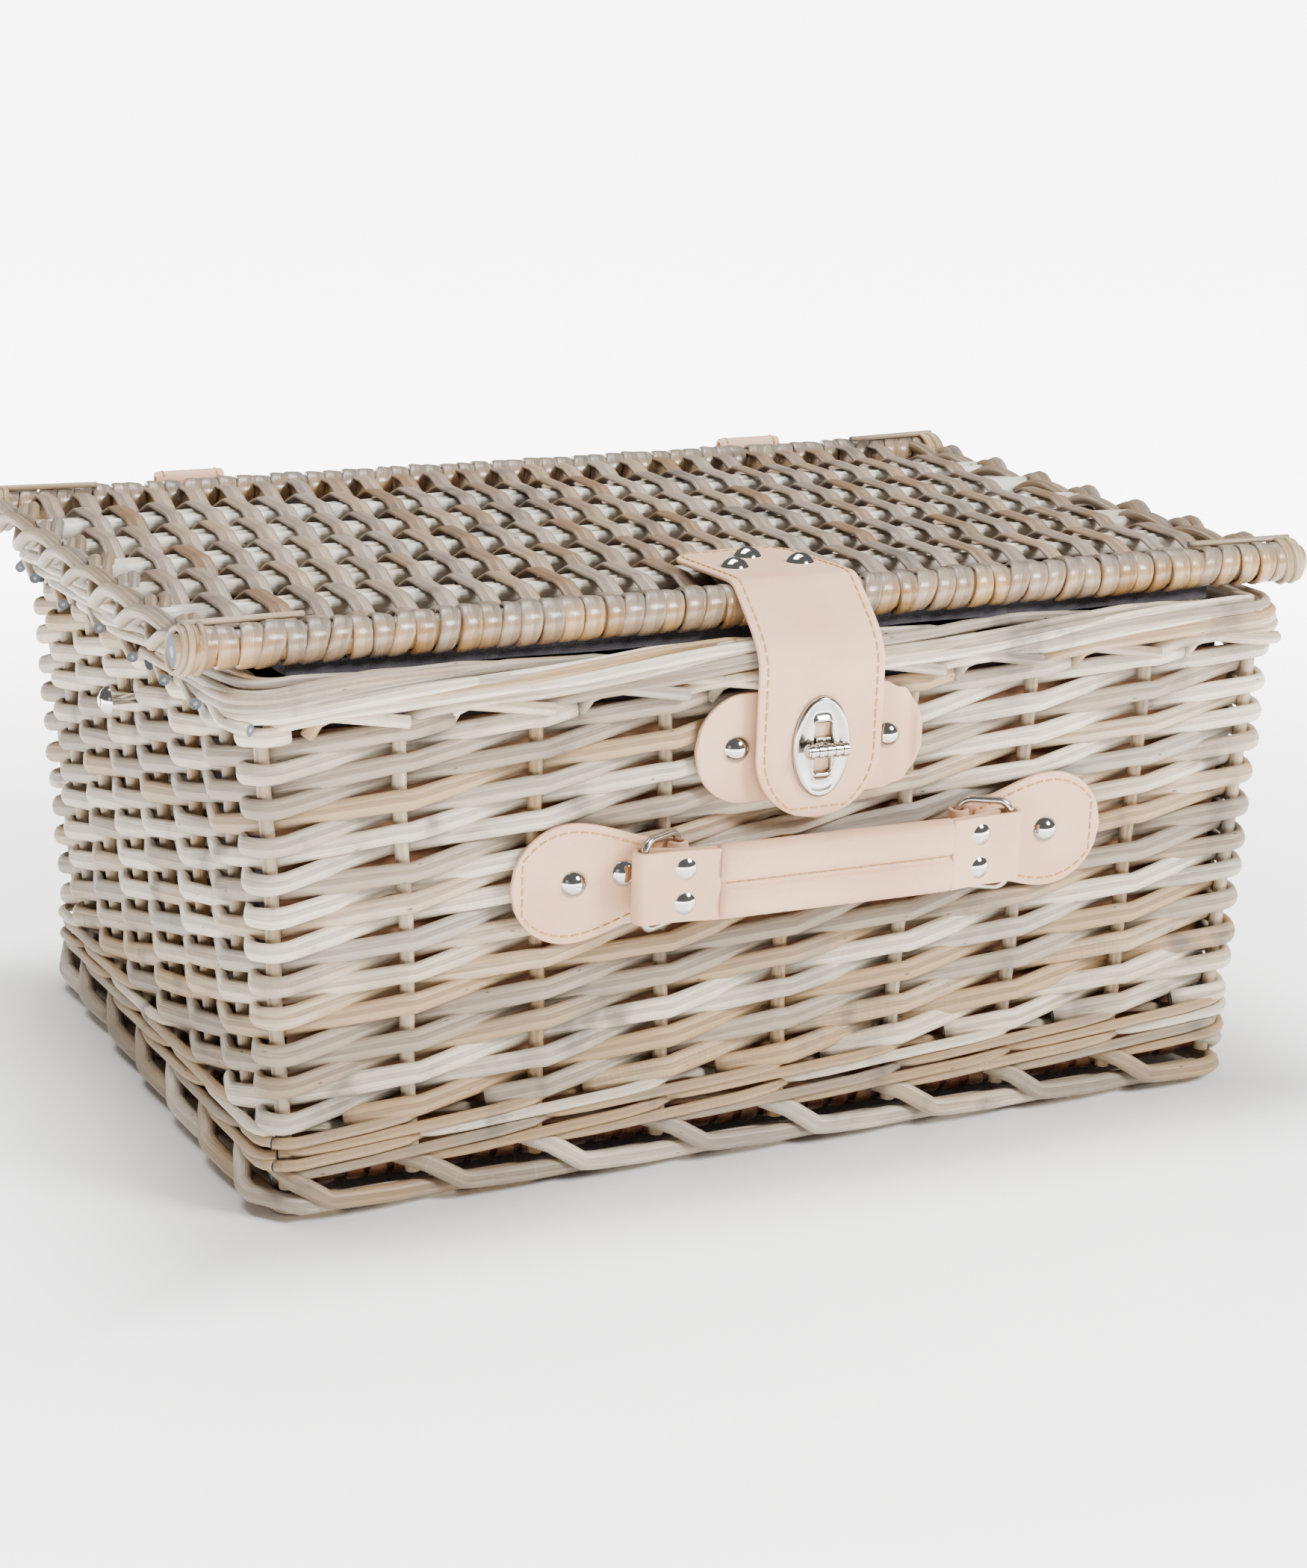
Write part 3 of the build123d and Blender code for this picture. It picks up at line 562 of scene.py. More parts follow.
board_brown = Finish("board_brown")
board_place = board_brown.add("ShaderNodeTexCoord", {}, {}, out="Object")
board_fibre = board_brown.noise(board_brown.stretch(board_place, (60.0, 60.0, 320.0)), 1.0, 4.0)
board_brown.surface(
    Base_Color=board_brown.blend(board_fibre.between(0.35, 0.7), shade("7C5237"), shade("A57A56")),
    Roughness=0.8,
)
board_brown.bumps(board_fibre, 0.0003, 0.5)
for side in ("front", "rear"):
    board = frame["nodes"]["liner_board_" + side]
    for holder in board.material_slots:
        holder.material = board_brown.material

lining_low, lining_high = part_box("lining")
lining_inside = line_x - (lining_high.x - lean * lining_high.z)
lining_rows = np.linspace(lining_low.z + 0.001, max(lining_high.z, rim_low.z + 0.0095), 22)
lining_round = np.linspace(0, side_starts[4], 241)[:-1]
lining_points = []
for height in lining_rows:
    loose = 0.0007 * np.sin(lining_round * 90 + height * 50) * math.sin(math.pi * (height - 0.02) / 0.17)
    places, facing = round_walls(lining_round, height, -lining_inside - 0.0016 - np.abs(loose), corner=0.016)
    lining_points += places.tolist()
lining_faces = []
ring = len(lining_round)
for row in range(len(lining_rows) - 1):
    for step in range(ring):
        near = row * ring + step
        beside = row * ring + (step + 1) % ring
        lining_faces.append((near, beside, beside + ring, near + ring))
lining_faces.append(tuple(range(ring))[::-1])
lining_mesh = bpy.data.meshes.new("cloth_lining")
lining_mesh.from_pydata(lining_points, [], lining_faces)
lining_mesh.polygons.foreach_set("use_smooth", [True] * (len(lining_faces) - 1) + [False])
lining_mesh.materials.append(cloth_grey.material)
lining_mesh.update()
lining = bpy.data.objects.new("cloth_lining", lining_mesh)
bpy.context.scene.collection.objects.link(lining)
lining_body = lining.modifiers.new("body", "SOLIDIFY")
lining_body.thickness = 0.0009
lining_body.offset = 0.0
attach(lining, "basket")
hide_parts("lining")

# ---- Lid frame: a thick stick along the front and the back, wrapped tightly from end to end
# ---- with flat lacquered skeins, and bound to the end braids at the corners.
pole_low, pole_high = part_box("lid_front_stick")
pole_top = (pole_low.z + pole_high.z) / 2 + 0.0068
# Painted sheen: the tops of the wrapped lid poles are greyed in their colour between these heights.
painted_sheen_heights = (pole_top - 0.0028, pole_top + 0.003)
wrap_willow = willow(
    "wrap_willow", "B08A5A", "8A6638", "857B70", 0.16, wash=0.5, painted_sheen=painted_sheen_heights,
)
wrap_willow.shader.inputs["Coat Weight"].default_value = 0.5
wrap_willow.shader.inputs["Coat Roughness"].default_value = 0.18
thin_willow = willow("thin_willow", "B99C73", "97784F", "82786A", 0.3, wash=0.5)
wrap_pitch = 0.0080
for name in ("front", "back"):
    low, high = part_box("lid_" + name + "_stick")
    stick_y = (low.y + high.y) / 2
    stick_z = (low.z + high.z) / 2
    edge = Withies()
    run = np.linspace(low.x + 0.001, high.x - 0.001, 40)
    points = np.column_stack([run, np.full(40, stick_y), np.full(40, stick_z)])
    edge.bend(points, 0.0062, 0.0062, (0, 0, 1), sides=16)
    edge.make("lid_" + name + "_pole", "lid", ["lid_" + name + "_stick"], wrap_willow, cut_end)
    wrap = Withies()
    wrap_reach = high.x - 0.0125
    turns = int(2 * wrap_reach / wrap_pitch)
    wrap_places = np.linspace(-wrap_reach, wrap_reach, turns) + chance.normal(0, 0.0004, turns)
    for number, x in enumerate(wrap_places):
        angle = np.linspace(0, 2 * math.pi, 25) + math.pi * 1.5
        radius = 0.0069 + chance.uniform(-0.0003, 0.0004)
        slant = 0.0014 + chance.uniform(-0.0016, 0.0016)
        tip = chance.uniform(0.05, 0.17)
        points = np.column_stack([
            x + slant * np.sin(angle + 0.6),
            stick_y + radius * np.cos(angle),
            stick_z + radius * np.sin(angle),
        ])
        facing = np.column_stack([np.full(25, tip), np.cos(angle), np.sin(angle)])
        half = wrap_pitch * (0.52 + 0.03 * np.sin(angle * 2 + number)) * chance.uniform(0.94, 1.05)
        wrap.bend(points, half, 0.0011 + chance.uniform(-0.0001, 0.0003), facing, sides=14, square=0.62)
    wrap.make(
        "lid_" + name + "_winding", "lid", ["lid_" + name + "_wrap"], wrap_willow, cut_end,
    )

# ---- Lid panel: bundles of round white rods from end to end, and brown-grey skeins that cross
# ---- them from front to back, over one bundle and under the next.
lid_skein = willow("lid_skein", "AC9478", "836444", "968D85", 0.22, wash=0.6)
lid_rod = willow("lid_rod", "E6E1D4", "C2B296", "A8A49B", 0.3)
rods_low, rods_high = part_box("lid_cross_sticks")
panel_low, panel_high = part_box("lid_weave")
lid_middle = (rods_low.z + rods_high.z) / 2
bundle_pitch = (panel_high.y - panel_low.y) / 6
bundle_rows = (panel_low.y + panel_high.y) / 2 + (np.arange(5) - 2) * bundle_pitch
rods = Withies()
for row in bundle_rows:
    for twin in (-1, 0, 1):
        run = np.linspace(rods_low.x, rods_high.x, 60)
        sway = 0.0008 * np.sin(run * 40 + row * 200 + twin)
        rise = 0.0005 * np.cos(run * 55 + twin * 2)
        points = np.column_stack([run, row + twin * 0.0063 + sway, lid_middle + rise])
        rods.bend(points, 0.0033, 0.0033, (0, 0, 1), sides=10)
rods.make("lid_rods", "lid", ["lid_cross_sticks"], lid_rod, cut_end)
panel = Withies()
skein_places = np.arange(panel_low.x + 0.004, panel_high.x - 0.003, 0.0082)
pole_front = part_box("lid_front_stick")
pole_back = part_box("lid_back_stick")
front_y = (pole_front[0].y + pole_front[1].y) / 2
back_y = (pole_back[0].y + pole_back[1].y) / 2
for number, x in enumerate(skein_places):
    run = np.linspace(front_y + 0.004, back_y - 0.004, 130)
    crossing = np.interp(run, np.concatenate([[front_y], bundle_rows, [back_y]]), np.arange(7) * math.pi)
    wave = np.clip(1.5 * np.cos(crossing + number * math.pi), -1, 1)
    drift = chance.uniform(-0.0012, 0.0012)
    points = np.column_stack([
        x + drift * np.sin(run * 18 + number), run, lid_middle + wave * (0.0046 + chance.uniform(0, 0.0006))
    ])
    panel.bend(points, 0.0041 + chance.uniform(-0.0006, 0.0002), 0.0010, (0, 0, 1), sides=10, square=0.75)
panel.make("lid_skeins", "lid", ["lid_weave"], lid_skein, cut_end)

# ---- Lid ends: pairs of thin rods plaited in threes from the back stick to the front one, and
# ---- the thin rods that are hooped round the ends of both sticks to hold the corners.
braid_willow = willow("braid_willow", "A08F79", "82694A", "756E68", 0.32, wash=0.7)
for name in ("left", "right"):
    low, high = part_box("lid_" + name + "_braid")
    centre_x = (low.x + high.x) / 2
    centre_z = (low.z + high.z) / 2
    plait = Withies()
    for strand in range(3):
        for twin in (-1, 1):
            run = np.linspace(front_y + 0.002, back_y - 0.002, 110)
            angle = run * 2 * math.pi / 0.125 + strand * 2 * math.pi / 3
            lay = twin * 0.0024
            points = np.column_stack([
                centre_x + 0.0068 * np.sin(angle) + lay * (0.9 + 0.2 * np.sin(run * 70)), run,
                centre_z + 0.0044 * np.sin(2 * angle) + 0.0006 * twin * np.cos(angle),
            ])
            girth = 0.0026 * chance.uniform(0.9, 1.06)
            plait.bend(points, girth, girth, (0, 0, 1), sides=10)
    plait.make(
        "lid_" + name + "_plait", "lid", ["lid_" + name + "_braid"], braid_willow, cut_end,
    )
bindings = Withies()
binding_x = pole_high.x - 0.0032
for end in (-1, 1):
    for stick_y, turn in ((front_y, 1), (back_y, -1)):
        for number in range(4):
            angle = np.linspace(0, 2 * math.pi, 33) + math.pi * 1.4
            radius = 0.0079 + 0.0008 * (number % 2)
            around = radius * np.cos(angle)
            points = np.column_stack([
                end * (binding_x - 0.0023 * number - 0.0012 * np.sin(angle) + turn * 0.1 * around),
                stick_y + around + turn * 0.0016,
                lid_middle + radius * np.sin(angle),
            ])
            facing = np.column_stack([np.zeros(33), np.cos(angle), np.sin(angle)])
            bindings.bend(points, 0.0014, 0.0013, facing, sides=8)
        share = np.linspace(0, 1, 14)
        tail = np.column_stack([
            end * (binding_x - 0.002 - 0.046 * share),
            stick_y + turn * (0.002 + 0.003 * share),
            lid_middle + 0.0092 - 0.0004 * share,
        ])
        bindings.bend(tail, 0.0014, 0.0013, (0, 0, 1), sides=8)
bindings.make("corner_bindings", "lid", ["lid_corner_bindings"], thin_willow, cut_end)

# ---- Lid cloth: the same charcoal cloth, stretched under the lid over a stiffener, with its
# ---- edges turned down inside the border.
cloth_low, cloth_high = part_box("lid_lining")
hem = 0.0052
hem_x = min(cloth_high.x, line_x - 0.008)
hem_front = front_y + 0.0026
hem_back = back_y - 0.0060
cloth_steps = 56
cloth_rows = 40
cloth_x = np.concatenate([[-hem_x] * 2, np.linspace(-hem_x, hem_x, cloth_steps), [hem_x] * 2])
cloth_y = np.concatenate([[hem_front] * 2, np.linspace(hem_front, hem_back, cloth_rows), [hem_back] * 2])
drop_x = np.concatenate([[hem, hem / 2], np.zeros(cloth_steps), [hem / 2, hem]])
drop_y = np.concatenate([[hem, hem / 2], np.zeros(cloth_rows), [hem / 2, hem]])
cloth_points = [
    (x, y, cloth_low.z + 0.0006 + 0.0003 * math.sin(x * 70) * math.sin(y * 60) - max(down_x, down_y))
    for y, down_y in zip(cloth_y, drop_y) for x, down_x in zip(cloth_x, drop_x)
]
across_cloth = len(cloth_x)
corners = [row * across_cloth + step for row in range(len(cloth_y) - 1) for step in range(across_cloth - 1)]
cloth_faces = [(near, near + 1, near + across_cloth + 1, near + across_cloth) for near in corners]
cloth_mesh = bpy.data.meshes.new("lid_cloth")
cloth_mesh.from_pydata(cloth_points, [], cloth_faces)
cloth_mesh.materials.append(cloth_grey.material)
cloth_mesh.update()
lid_cloth = bpy.data.objects.new("lid_cloth", cloth_mesh)
bpy.context.scene.collection.objects.link(lid_cloth)
cloth_body = lid_cloth.modifiers.new("body", "SOLIDIFY")
cloth_body.thickness = 0.0008
cloth_body.offset = 0.0
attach(lid_cloth, "lid")
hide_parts("lid_lining")

# ---- Strap: natural leather cut in one width with a rounded end and stitched all round. Its
# ---- root and the tab under it are studded to the lid; the flap hangs over the front.
leather_thick = 0.0022
leather = Finish("leather")
leather_place = leather.add("ShaderNodeTexCoord", {}, {}, out="Object")
pores = leather.add("ShaderNodeTexVoronoi", {}, {"Vector": leather_place, "Scale": 1500.0})
creases = leather.noise(leather_place, 420.0, 4.0)
blotches = leather.noise(leather_place, 26.0, 3.0)
hide = leather.blend(blotches.between(0.3, 0.75), shade("DDB592"), shade("D2A582"))
hide = leather.blend(creases.between(0.55, 0.8) * 0.25, hide, shade("B98F74"))
leather.surface(Base_Color=hide, Roughness=0.42 + blotches * 0.2)
leather.bumps(pores * 0.6 + creases, 0.00014, 0.6)
leather.shader.inputs["Subsurface Weight"].default_value = 0.06
leather.shader.inputs["Subsurface Scale"].default_value = 0.004
leather.shader.inputs["Sheen Weight"].default_value = 0.08
thread = Finish("thread")
thread_twist = thread.add(
    "ShaderNodeTexWave", {"bands_direction": "DIAGONAL"},
    {"Vector": thread.add("ShaderNodeTexCoord", {}, {}, out="Object"), "Scale": 900.0},
)
thread.surface(Base_Color=thread.blend(thread_twist, shade("B8863F"), shade("D6A766")), Roughness=0.6)
thread.bumps(thread_twist, 0.0001, 0.5)

wall_tilt = math.atan(lean)
outer_y = line_y + wall_depth / 2
wall_out = np.array([0.0, -math.cos(wall_tilt), -math.sin(wall_tilt)])
wall_up = np.array([0.0, -math.sin(wall_tilt), math.cos(wall_tilt)])


def on_front(x, height, out):
    """A place off the front wall's outer face."""
    foot_place = np.array([x, middle_y - outer_y - lean * height, height])
    return foot_place + wall_out * out


def smooth_path(knots, count, rounds=3):
    """Points along straight runs with their corners worn round, evenly spaced."""
    knots = np.asarray(knots, float)
    for _ in range(rounds):
        cut = np.empty((2 * len(knots) - 2, knots.shape[1]))
        cut[0::2] = 0.75 * knots[:-1] + 0.25 * knots[1:]
        cut[1::2] = 0.25 * knots[:-1] + 0.75 * knots[1:]
        knots = np.vstack([knots[:1], cut, knots[-1:]])
    gone = np.concatenate([[0.0], np.cumsum(np.linalg.norm(np.diff(knots, axis=0), axis=1))])
    wanted = np.linspace(0, gone[-1], count)
    return np.column_stack([np.interp(wanted, gone, knots[:, axis]) for axis in range(knots.shape[1])])


def facings(path, side):
    """The way out of a strap's upper face at each point, for a strap whose width lies along side."""
    run = np.gradient(path, axis=0)
    run /= np.linalg.norm(run, axis=1)[:, None]
    return np.cross(run, np.asarray(side, float))


def sew(seams, path, halves, side, out, inset=0.0032, close=True):
    """Adds the stitches of one strap: short threads just inside its edges, and across its ends."""
    side = np.asarray(side, float)
    gone = np.concatenate([[0.0], np.cumsum(np.linalg.norm(np.diff(path, axis=0), axis=1))])
    halves = np.broadcast_to(halves, len(path))
    live = (gone > inset) & (gone < gone[-1] - inset) & (halves > inset)
    edges = halves - inset
    reach = side * edges[live][:, None]
    outline = [path[live] + reach, path[live][::-1] - reach[::-1]]
    normals = [out[live], out[live][::-1]]
    outline, normals = np.vstack(outline), np.vstack(normals)
    if close:
        outline, normals = np.vstack([outline, outline[:1]]), np.vstack([normals, normals[:1]])
    lengths = np.concatenate([[0.0], np.cumsum(np.linalg.norm(np.diff(outline, axis=0), axis=1))])
    for start in np.arange(0.0005, lengths[-1] - 0.003, 0.0043):
        share = np.linspace(start, start + 0.0031, 5)
        points = np.column_stack([np.interp(share, lengths, outline[:, axis]) for axis in range(3)])
        normal = np.column_stack([np.interp(share, lengths, normals[:, axis]) for axis in range(3)])
        lift = leather_thick / 2 + 0.00022 * np.sin(np.linspace(0.15, math.pi - 0.15, 5))
        seams.bend(points + normal * lift[:, None], 0.00035, 0.00030, normal, sides=6)


def rounded_halves(path, half, start_round=None, end_round=None):
    """Half widths along a strap, drawn in to a round or softened corner at either end."""
    gone = np.concatenate([[0.0], np.cumsum(np.linalg.norm(np.diff(path, axis=0), axis=1))])
    widths = np.full(len(path), float(half))
    for radius, left in ((start_round, gone), (end_round, gone[-1] - gone)):
        if radius:
            near = np.clip(radius - left, 0, radius)
            widths = np.minimum(widths, half - radius + np.sqrt(np.maximum(radius**2 - near**2, 1e-9)))
    return widths


joints = {joint["name"]: joint for joint in frame["joints"]}
flap_low, flap_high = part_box("strap_flap")
flap_half = (flap_high.x - flap_low.x) / 2
flap_x = (flap_high.x + flap_low.x) / 2
stick_z = lid_middle
tab_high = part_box("strap_tab")[1]
tab_level = tab_high.z - leather_thick / 2
curl_radius = tab_level - stick_z
curled = [
    (flap_x, front_y + curl_radius * math.cos(a), stick_z + curl_radius * math.sin(a))
    for a in np.radians(np.linspace(92, 132, 12))
]
root = [(flap_x - 0.003, tab_high.y + 0.007, tab_level), (flap_x, front_y + 0.006, tab_level)]
strap_knots = root + curled + [
    tuple(on_front(flap_x, 0.206, 0.0076)), tuple(on_front(flap_x, 0.190, 0.0074)),
    tuple(on_front(flap_x, 0.172, 0.0071)), tuple(on_front(flap_x, flap_low.z, 0.0071)),
]
side_way = np.array([1.0, 0.0, 0.0])
strap_path = smooth_path(strap_knots, 110, 4)
strap_out = facings(strap_path, side_way)
strap_out *= np.sign(strap_out[5, 2])
strap_halves = rounded_halves(strap_path, flap_half, start_round=0.014, end_round=flap_half - 0.0005)
strap = Withies()
strap.bend(strap_path, strap_halves, leather_thick / 2, strap_out, sides=44, square=0.28)
strap_piece = strap.make("strap_leather", None, ["strap_flap", "strap_tab"], leather)
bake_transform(strap_piece)
strap_seam = Withies()
sew(strap_seam, strap_path, strap_halves, side_way, strap_out)
seam_piece = strap_seam.make("strap_stitching", None, [], thread)
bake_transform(seam_piece)

# ---- Lock plate: a pressed oval with a raised rim and a raised frame round the slot that the
# ---- knob passes through.
plate_low, plate_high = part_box("lock_plate")
plate_centre = (np.array(plate_low) + np.array(plate_high)) / 2
plate_turns = np.linspace(0, 2 * math.pi, 65)[:-1]
plate_steps = ((0.0, -0.0008), (0.0, 0.0012), (0.07, 0.0016), (0.15, 0.0016), (0.20, 0.0006), (0.5, 0.0006),
               (0.72, 0.0010), (0.86, 0.0014), (0.95, 0.0010), (1.0, 0.0001), (1.0, -0.0008))
plate_points = []
for share, rise in plate_steps:
    for turn in plate_turns:
        slot_reach = min(0.0037 / max(abs(math.cos(turn)), 1e-6), 0.0098 / max(abs(math.sin(turn)), 1e-6))
        slot_x, slot_z = slot_reach * math.cos(turn), slot_reach * math.sin(turn)
        rim_x, rim_z = 0.0119 * math.cos(turn), 0.0199 * math.sin(turn)
        place = plate_centre + side_way * (slot_x + (rim_x - slot_x) * share)
        place = place + wall_up * (slot_z + (rim_z - slot_z) * share) + wall_out * rise
        plate_points.append(place)
plate_faces = []
around = len(plate_turns)
for row in range(len(plate_steps)):
    near, far = row * around, (row + 1) % len(plate_steps) * around
    for step in range(around):
        beside = (step + 1) % around
        plate_faces.append((near + step, near + beside, far + beside, far + step))
plate_mesh = bpy.data.meshes.new("pressed_plate")
plate_mesh.from_pydata([tuple(place) for place in plate_points], [], plate_faces)
plate_mesh.polygons.foreach_set("use_smooth", [True] * len(plate_faces))
plate_mesh.update()
stand(plate_mesh, "strap", ["lock_plate"])

# ---- Lock patch: plain unstitched leather under the lock, held by a stud each side, with its
# ---- right-hand edge curling off the weave.
patch_low, patch_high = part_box("lock_patch")
patch_middle = (patch_low.z + patch_high.z) / 2
patch_runs = np.linspace(patch_low.x - 0.001, patch_high.x - 0.003, 70)
curling = np.clip((patch_runs - flap_x - 0.027) / 0.019, 0, 1)
patch_lift = leather_thick / 2 + 0.0003 + curling**1.6 * (0.0042 + 0.0016 * np.sin(patch_runs * 520))
patch_path = np.array([on_front(x, patch_middle, lift) for x, lift in zip(patch_runs, patch_lift)])
patch_halves = rounded_halves(patch_path, (patch_high.z - patch_low.z) / 2, 0.0205, 0.016)
patch_halves = patch_halves * (1 - 0.12 * curling + 0.07 * curling * np.sin(patch_runs * 760))
patch = Withies()
patch.bend(patch_path, patch_halves, leather_thick / 2, wall_out, sides=44, square=0.28)
patch.make("lock_patch_leather", "basket", ["lock_patch"], leather)

# ---- Handle: two stitched leather tabs studded to the wall, each with a wire ring in its eye,
# ---- and between the rings a folded end, riveted, at each end of a padded two-roll grip.
ring_line = np.array(joints["ring_left_swing"]["pos_m"])
ring_right_line = np.array(joints["ring_right_swing"]["pos_m"])
handle_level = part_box("handle_grip")
handle_centre = (np.array(handle_level[0]) + np.array(handle_level[1])) / 2
wall_face_out = float((ring_line - on_front(ring_line[0], ring_line[2], 0.0)) @ wall_out)
tab_reach = 0.066
tab_round = 0.0235
eye_half = 0.0135
eye_radius = 0.0031
for name, hand in (("left", -1), ("right", 1)):
    bar = ring_line if hand < 0 else ring_right_line
    outward_x = hand
    leaf_runs = np.linspace(tab_reach, 0.001, 46)
    leaf_off_wall = wall_out * (leather_thick / 2 + 0.0002 - wall_face_out)
    leaf_places = [bar + np.array([outward_x * run, 0, 0]) + leaf_off_wall for run in leaf_runs]
    eye = np.radians(np.linspace(-90, 190, 22))
    eye_places = [
        bar + wall_out * (eye_radius * math.sin(a)) + np.array([-outward_x * eye_radius * math.cos(a), 0, 0])
        for a in eye
    ]
    path = np.array(leaf_places + eye_places)
    from_round = np.abs(leaf_runs - (tab_reach - tab_round))
    bulb = np.where(
        leaf_runs > tab_reach - tab_round, np.sqrt(np.maximum(tab_round**2 - from_round**2, 1e-9)), tab_round
    )
    neck = np.clip((tab_reach - tab_round - leaf_runs) / (tab_reach - tab_round), 0, 1)
    neck = neck * neck * (3 - 2 * neck)
    leaf_halves = np.where(leaf_runs > tab_reach - tab_round, bulb, tab_round + (eye_half - tab_round) * neck)
    halves = np.concatenate([leaf_halves, np.full(22, eye_half)])
    run = np.gradient(path, axis=0)
    run /= np.linalg.norm(run, axis=1)[:, None]
    out = np.cross(run, wall_up) * outward_x
    out *= np.sign(out[:10].mean(axis=0) @ wall_out)
    leaf = Withies()
    leaf.bend(path, halves, leather_thick / 2, out, sides=44, square=0.28)
    leaf.make("handle_tab_leather_" + name, "basket", ["handle_tab_" + name], leather)
    leaf_seam = Withies()
    sew(leaf_seam, path[:44], halves[:44], wall_up, out[:44])
    leaf_seam.make("handle_tab_stitching_" + name, "basket", [], thread)

bend_points = {
    name: np.array(joints["end_" + name + "_swing"]["pos_m"]) for name in ("left", "right")
}
ring_lean = math.radians(28.0)
ring_length = 0.020
for name, hand in (("left", -1), ("right", 1)):
    bar = ring_line if hand < 0 else ring_right_line
    loop_bar = bar + np.array([hand * ring_length * math.cos(ring_lean), 0, 0])
    loop_bar = loop_bar + wall_out * ring_length * math.sin(ring_lean)
    bend = bend_points[name]
    away = bend - loop_bar
    length = float(np.linalg.norm(away))
    away = away / length
    over = np.cross(wall_up, away)
    over *= np.sign(over @ wall_out)
    radius = 0.0036
    lower = [(length + 0.003, -0.0012), (length * 0.5, -0.0012), (0.005, -0.0028)]
    eye = [(-radius * math.sin(a), -radius * math.cos(a)) for a in np.radians(np.linspace(5, 175, 12))]
    upper = [(0.005, 0.0028), (length * 0.5, 0.0013), (length + 0.003, 0.0013)]
    knots = [loop_bar + away * along + over * lift for along, lift in lower + eye + upper]
    path = smooth_path(knots, 64, 1)
    run = np.gradient(path, axis=0)
    run /= np.linalg.norm(run, axis=1)[:, None]
    out = np.cross(run, wall_up)
    out *= np.sign(out[-1] @ over)
    fold = Withies()
    fold.bend(path, eye_half + 0.0005, leather_thick / 2, out, sides=44, square=0.28)
    fold.make("handle_fold_" + name, "end_" + name, ["handle_end_" + name], leather)

grip_low, grip_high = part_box("handle_grip")
grip_half = (grip_high.z - grip_low.z) / 2 / math.cos(wall_tilt)
grip_reach = (grip_high.x - grip_low.x) / 2
roll_angles = np.linspace(0, 2 * math.pi, 73)[:-1]
grip_rings = []
grip_runs = np.linspace(-1, 1, 41)
for share in grip_runs:
    swell = (1 - abs(share) ** 10) ** 0.5 * 0.32 + 0.68
    for angle in roll_angles:
        rise = grip_half * math.cos(angle) * (0.96 + 0.04 * swell)
        lobe = abs(abs(rise) - grip_half / 2) / (grip_half / 2)
        depth = max(0.0063 * swell * math.sqrt(max(1 - lobe**2.3, 0.0)), 0.0009 + 0.0004 * swell)
        depth = depth if abs(math.sin(angle)) > 0.02 else 0.0
        crease = 0.00012 * math.sin(share * 61 + rise * 900)
        place = handle_centre + wall_up * rise + wall_out * math.copysign(depth + crease, math.sin(angle))
        grip_rings.append((handle_centre[0] + share * grip_reach, place[1], place[2]))
sides = len(roll_angles)
grip_faces = []
for ring_number in range(len(grip_runs) - 1):
    for step in range(sides):
        near = ring_number * sides + step
        beside = ring_number * sides + (step + 1) % sides
        grip_faces.append((near, beside, beside + sides, near + sides))
grip_faces.append(tuple(range(sides))[::-1])
grip_faces.append(tuple(range((len(grip_runs) - 1) * sides, len(grip_runs) * sides)))
grip_mesh = bpy.data.meshes.new("grip_leather")
grip_mesh.from_pydata(grip_rings, [], grip_faces)
grip_mesh.polygons.foreach_set("use_smooth", [True] * len(grip_faces))
grip_mesh.materials.append(leather.material)
grip_mesh.update()
grip = stand(grip_mesh, "handle", ["handle_grip", "handle_cores"])
grip_seam = Withies()
for start in np.arange(-grip_reach + 0.003, grip_reach - 0.005, 0.0043):
    points = np.array([
        handle_centre + side_way * (start + step) + wall_out * 0.0017 for step in np.linspace(0, 0.0031, 4)
    ])
    grip_seam.bend(points, 0.00035, 0.0003, wall_out, sides=6)
grip_seam.make("grip_stitching", "handle", [], thread)

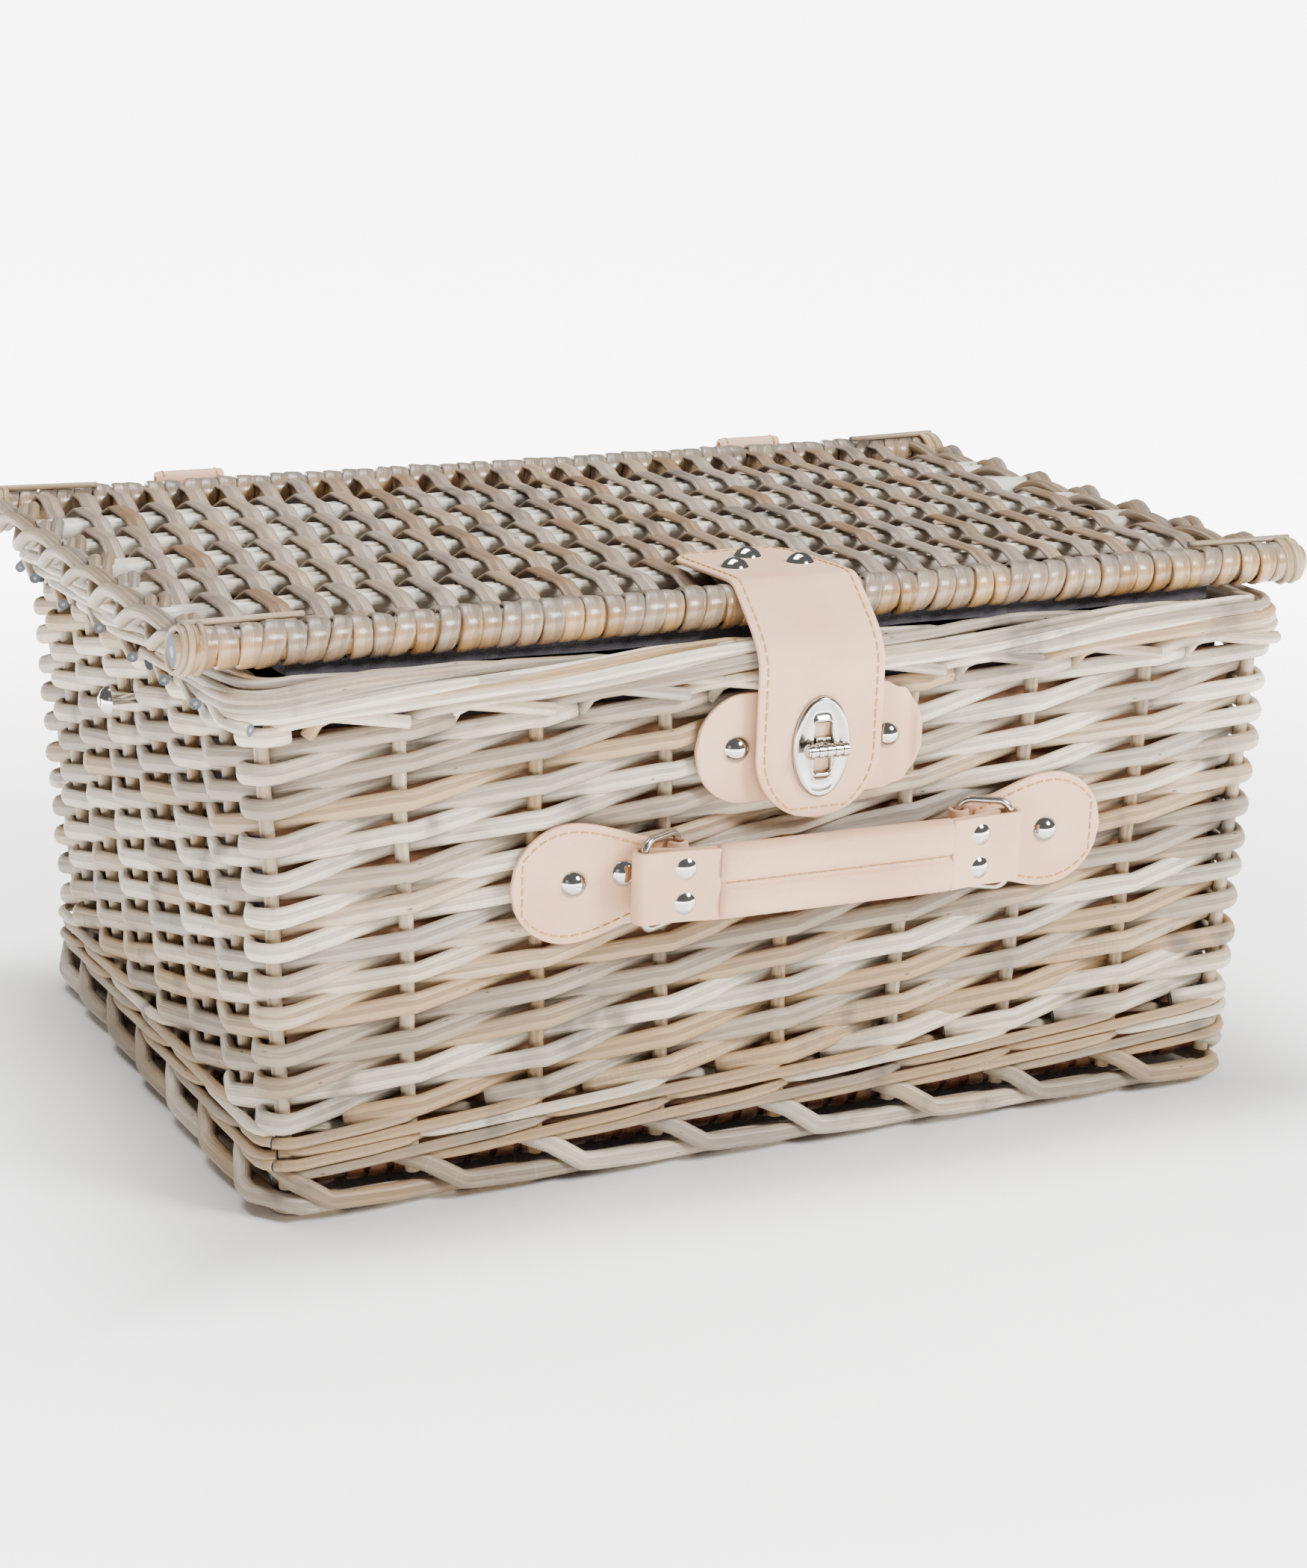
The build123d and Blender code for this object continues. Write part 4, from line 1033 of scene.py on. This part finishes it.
# ---- Rear hinge bands: two stitched leather bands that stand up behind the lid's back stick
# ---- in an arch, and run down over the border to two studs each in the rear wall.
for name in ("left", "right"):
    arch_low, arch_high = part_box("hinge_band_upper_" + name)
    strip_low, strip_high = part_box("hinge_band_lower_" + name)
    band_x = (arch_low.x + arch_high.x) / 2
    band_half = (arch_high.x - arch_low.x) / 2
    inner_y = arch_low.y + leather_thick / 2
    outer_leg = arch_high.y - leather_thick / 2
    arch_radius = (outer_leg - inner_y) / 2
    top = arch_high.z - leather_thick / 2 - arch_radius
    bow = [
        (band_x, (inner_y + outer_leg) / 2 - arch_radius * math.cos(a), top + arch_radius * math.sin(a))
        for a in np.radians(np.linspace(0, 180, 16))
    ]
    path = smooth_path(
        [(band_x, inner_y, arch_low.z + 0.0004)] + bow + [(band_x, outer_leg, arch_low.z + 0.0006)], 50, 1
    )
    out = facings(path, side_way)
    out *= np.sign(out[25, 2])
    arch = Withies()
    arch.bend(path, band_half, leather_thick / 2, out, sides=44, square=0.28)
    arch.make("hinge_arch_" + name, "lid", ["hinge_band_upper_" + name], leather)
    arch_seam = Withies()
    sew(arch_seam, path, band_half, side_way, out, close=False)
    arch_seam.make("hinge_arch_stitching_" + name, "lid", [], thread)
    rear_face = outer_y + middle_y
    wall_gap = 0.0003 + leather_thick / 2
    down = [
        (band_x, outer_leg, strip_high.z), (band_x, outer_leg, rim_low.z + 0.001),
        (band_x, rear_face + lean * (rim_low.z - 0.011) + wall_gap + 0.0012, rim_low.z - 0.011),
        (band_x, rear_face + lean * strip_low.z + wall_gap + 0.0012, strip_low.z + 0.001),
    ]
    strip_path = smooth_path(down, 50, 2)
    strip_out = facings(strip_path, side_way)
    strip_out *= np.sign(strip_out[25, 1])
    strip_halves = rounded_halves(strip_path, band_half, end_round=0.008)
    strip = Withies()
    strip.bend(strip_path, strip_halves, leather_thick / 2, strip_out, sides=44, square=0.28)
    strip.make("hinge_strip_" + name, "basket", ["hinge_band_lower_" + name], leather)
    strip_seam = Withies()
    sew(strip_seam, strip_path, strip_halves, side_way, strip_out, close=False)
    strip_seam.make("hinge_strip_stitching_" + name, "basket", [], thread)

# ---- Metal: nickel-plated studs, rivets, rings and turn lock, polished, with fine scratches
# ---- and a little haze in the plating.
for name, nodes, roughness, colour in (
    ("nickel_polished", [
        "lock_patch_studs", "strap_tab_studs", "handle_tab_studs", "hinge_band_studs", "side_stud_left",
        "side_stud_right", "handle_rivets_left", "handle_rivets_right",
    ], 0.06, "C9C7C3"),
    ("nickel_lock", ["lock_base", "turn_knob", "lock_washer"], 0.14, "B4B0A8"),
    ("ring_wire", ["handle_ring_left", "handle_ring_right"], 0.2, "B9B4AC"),
):
    metal = Finish(name)
    metal_place = metal.add("ShaderNodeTexCoord", {}, {}, out="Object")
    haze = metal.noise(metal_place, 140.0, 4.0)
    scratches = metal.noise(metal.stretch(metal_place, (300.0, 2200.0, 1600.0)), 1.0, 2.0)
    metal.surface(
        Base_Color=metal.blend(haze.between(0.4, 0.75) * 0.3, shade(colour), shade("B7AC9C")),
        Metallic=1.0,
        Roughness=roughness + haze * 0.08 + scratches.between(0.6, 0.8) * 0.1,
    )
    metal.bumps(scratches, 0.00003, 0.3)
    for node in nodes:
        for holder in frame["nodes"][node].material_slots:
            holder.material = metal.material
    if name == "nickel_lock":
        plate_mesh.materials.append(metal.material)
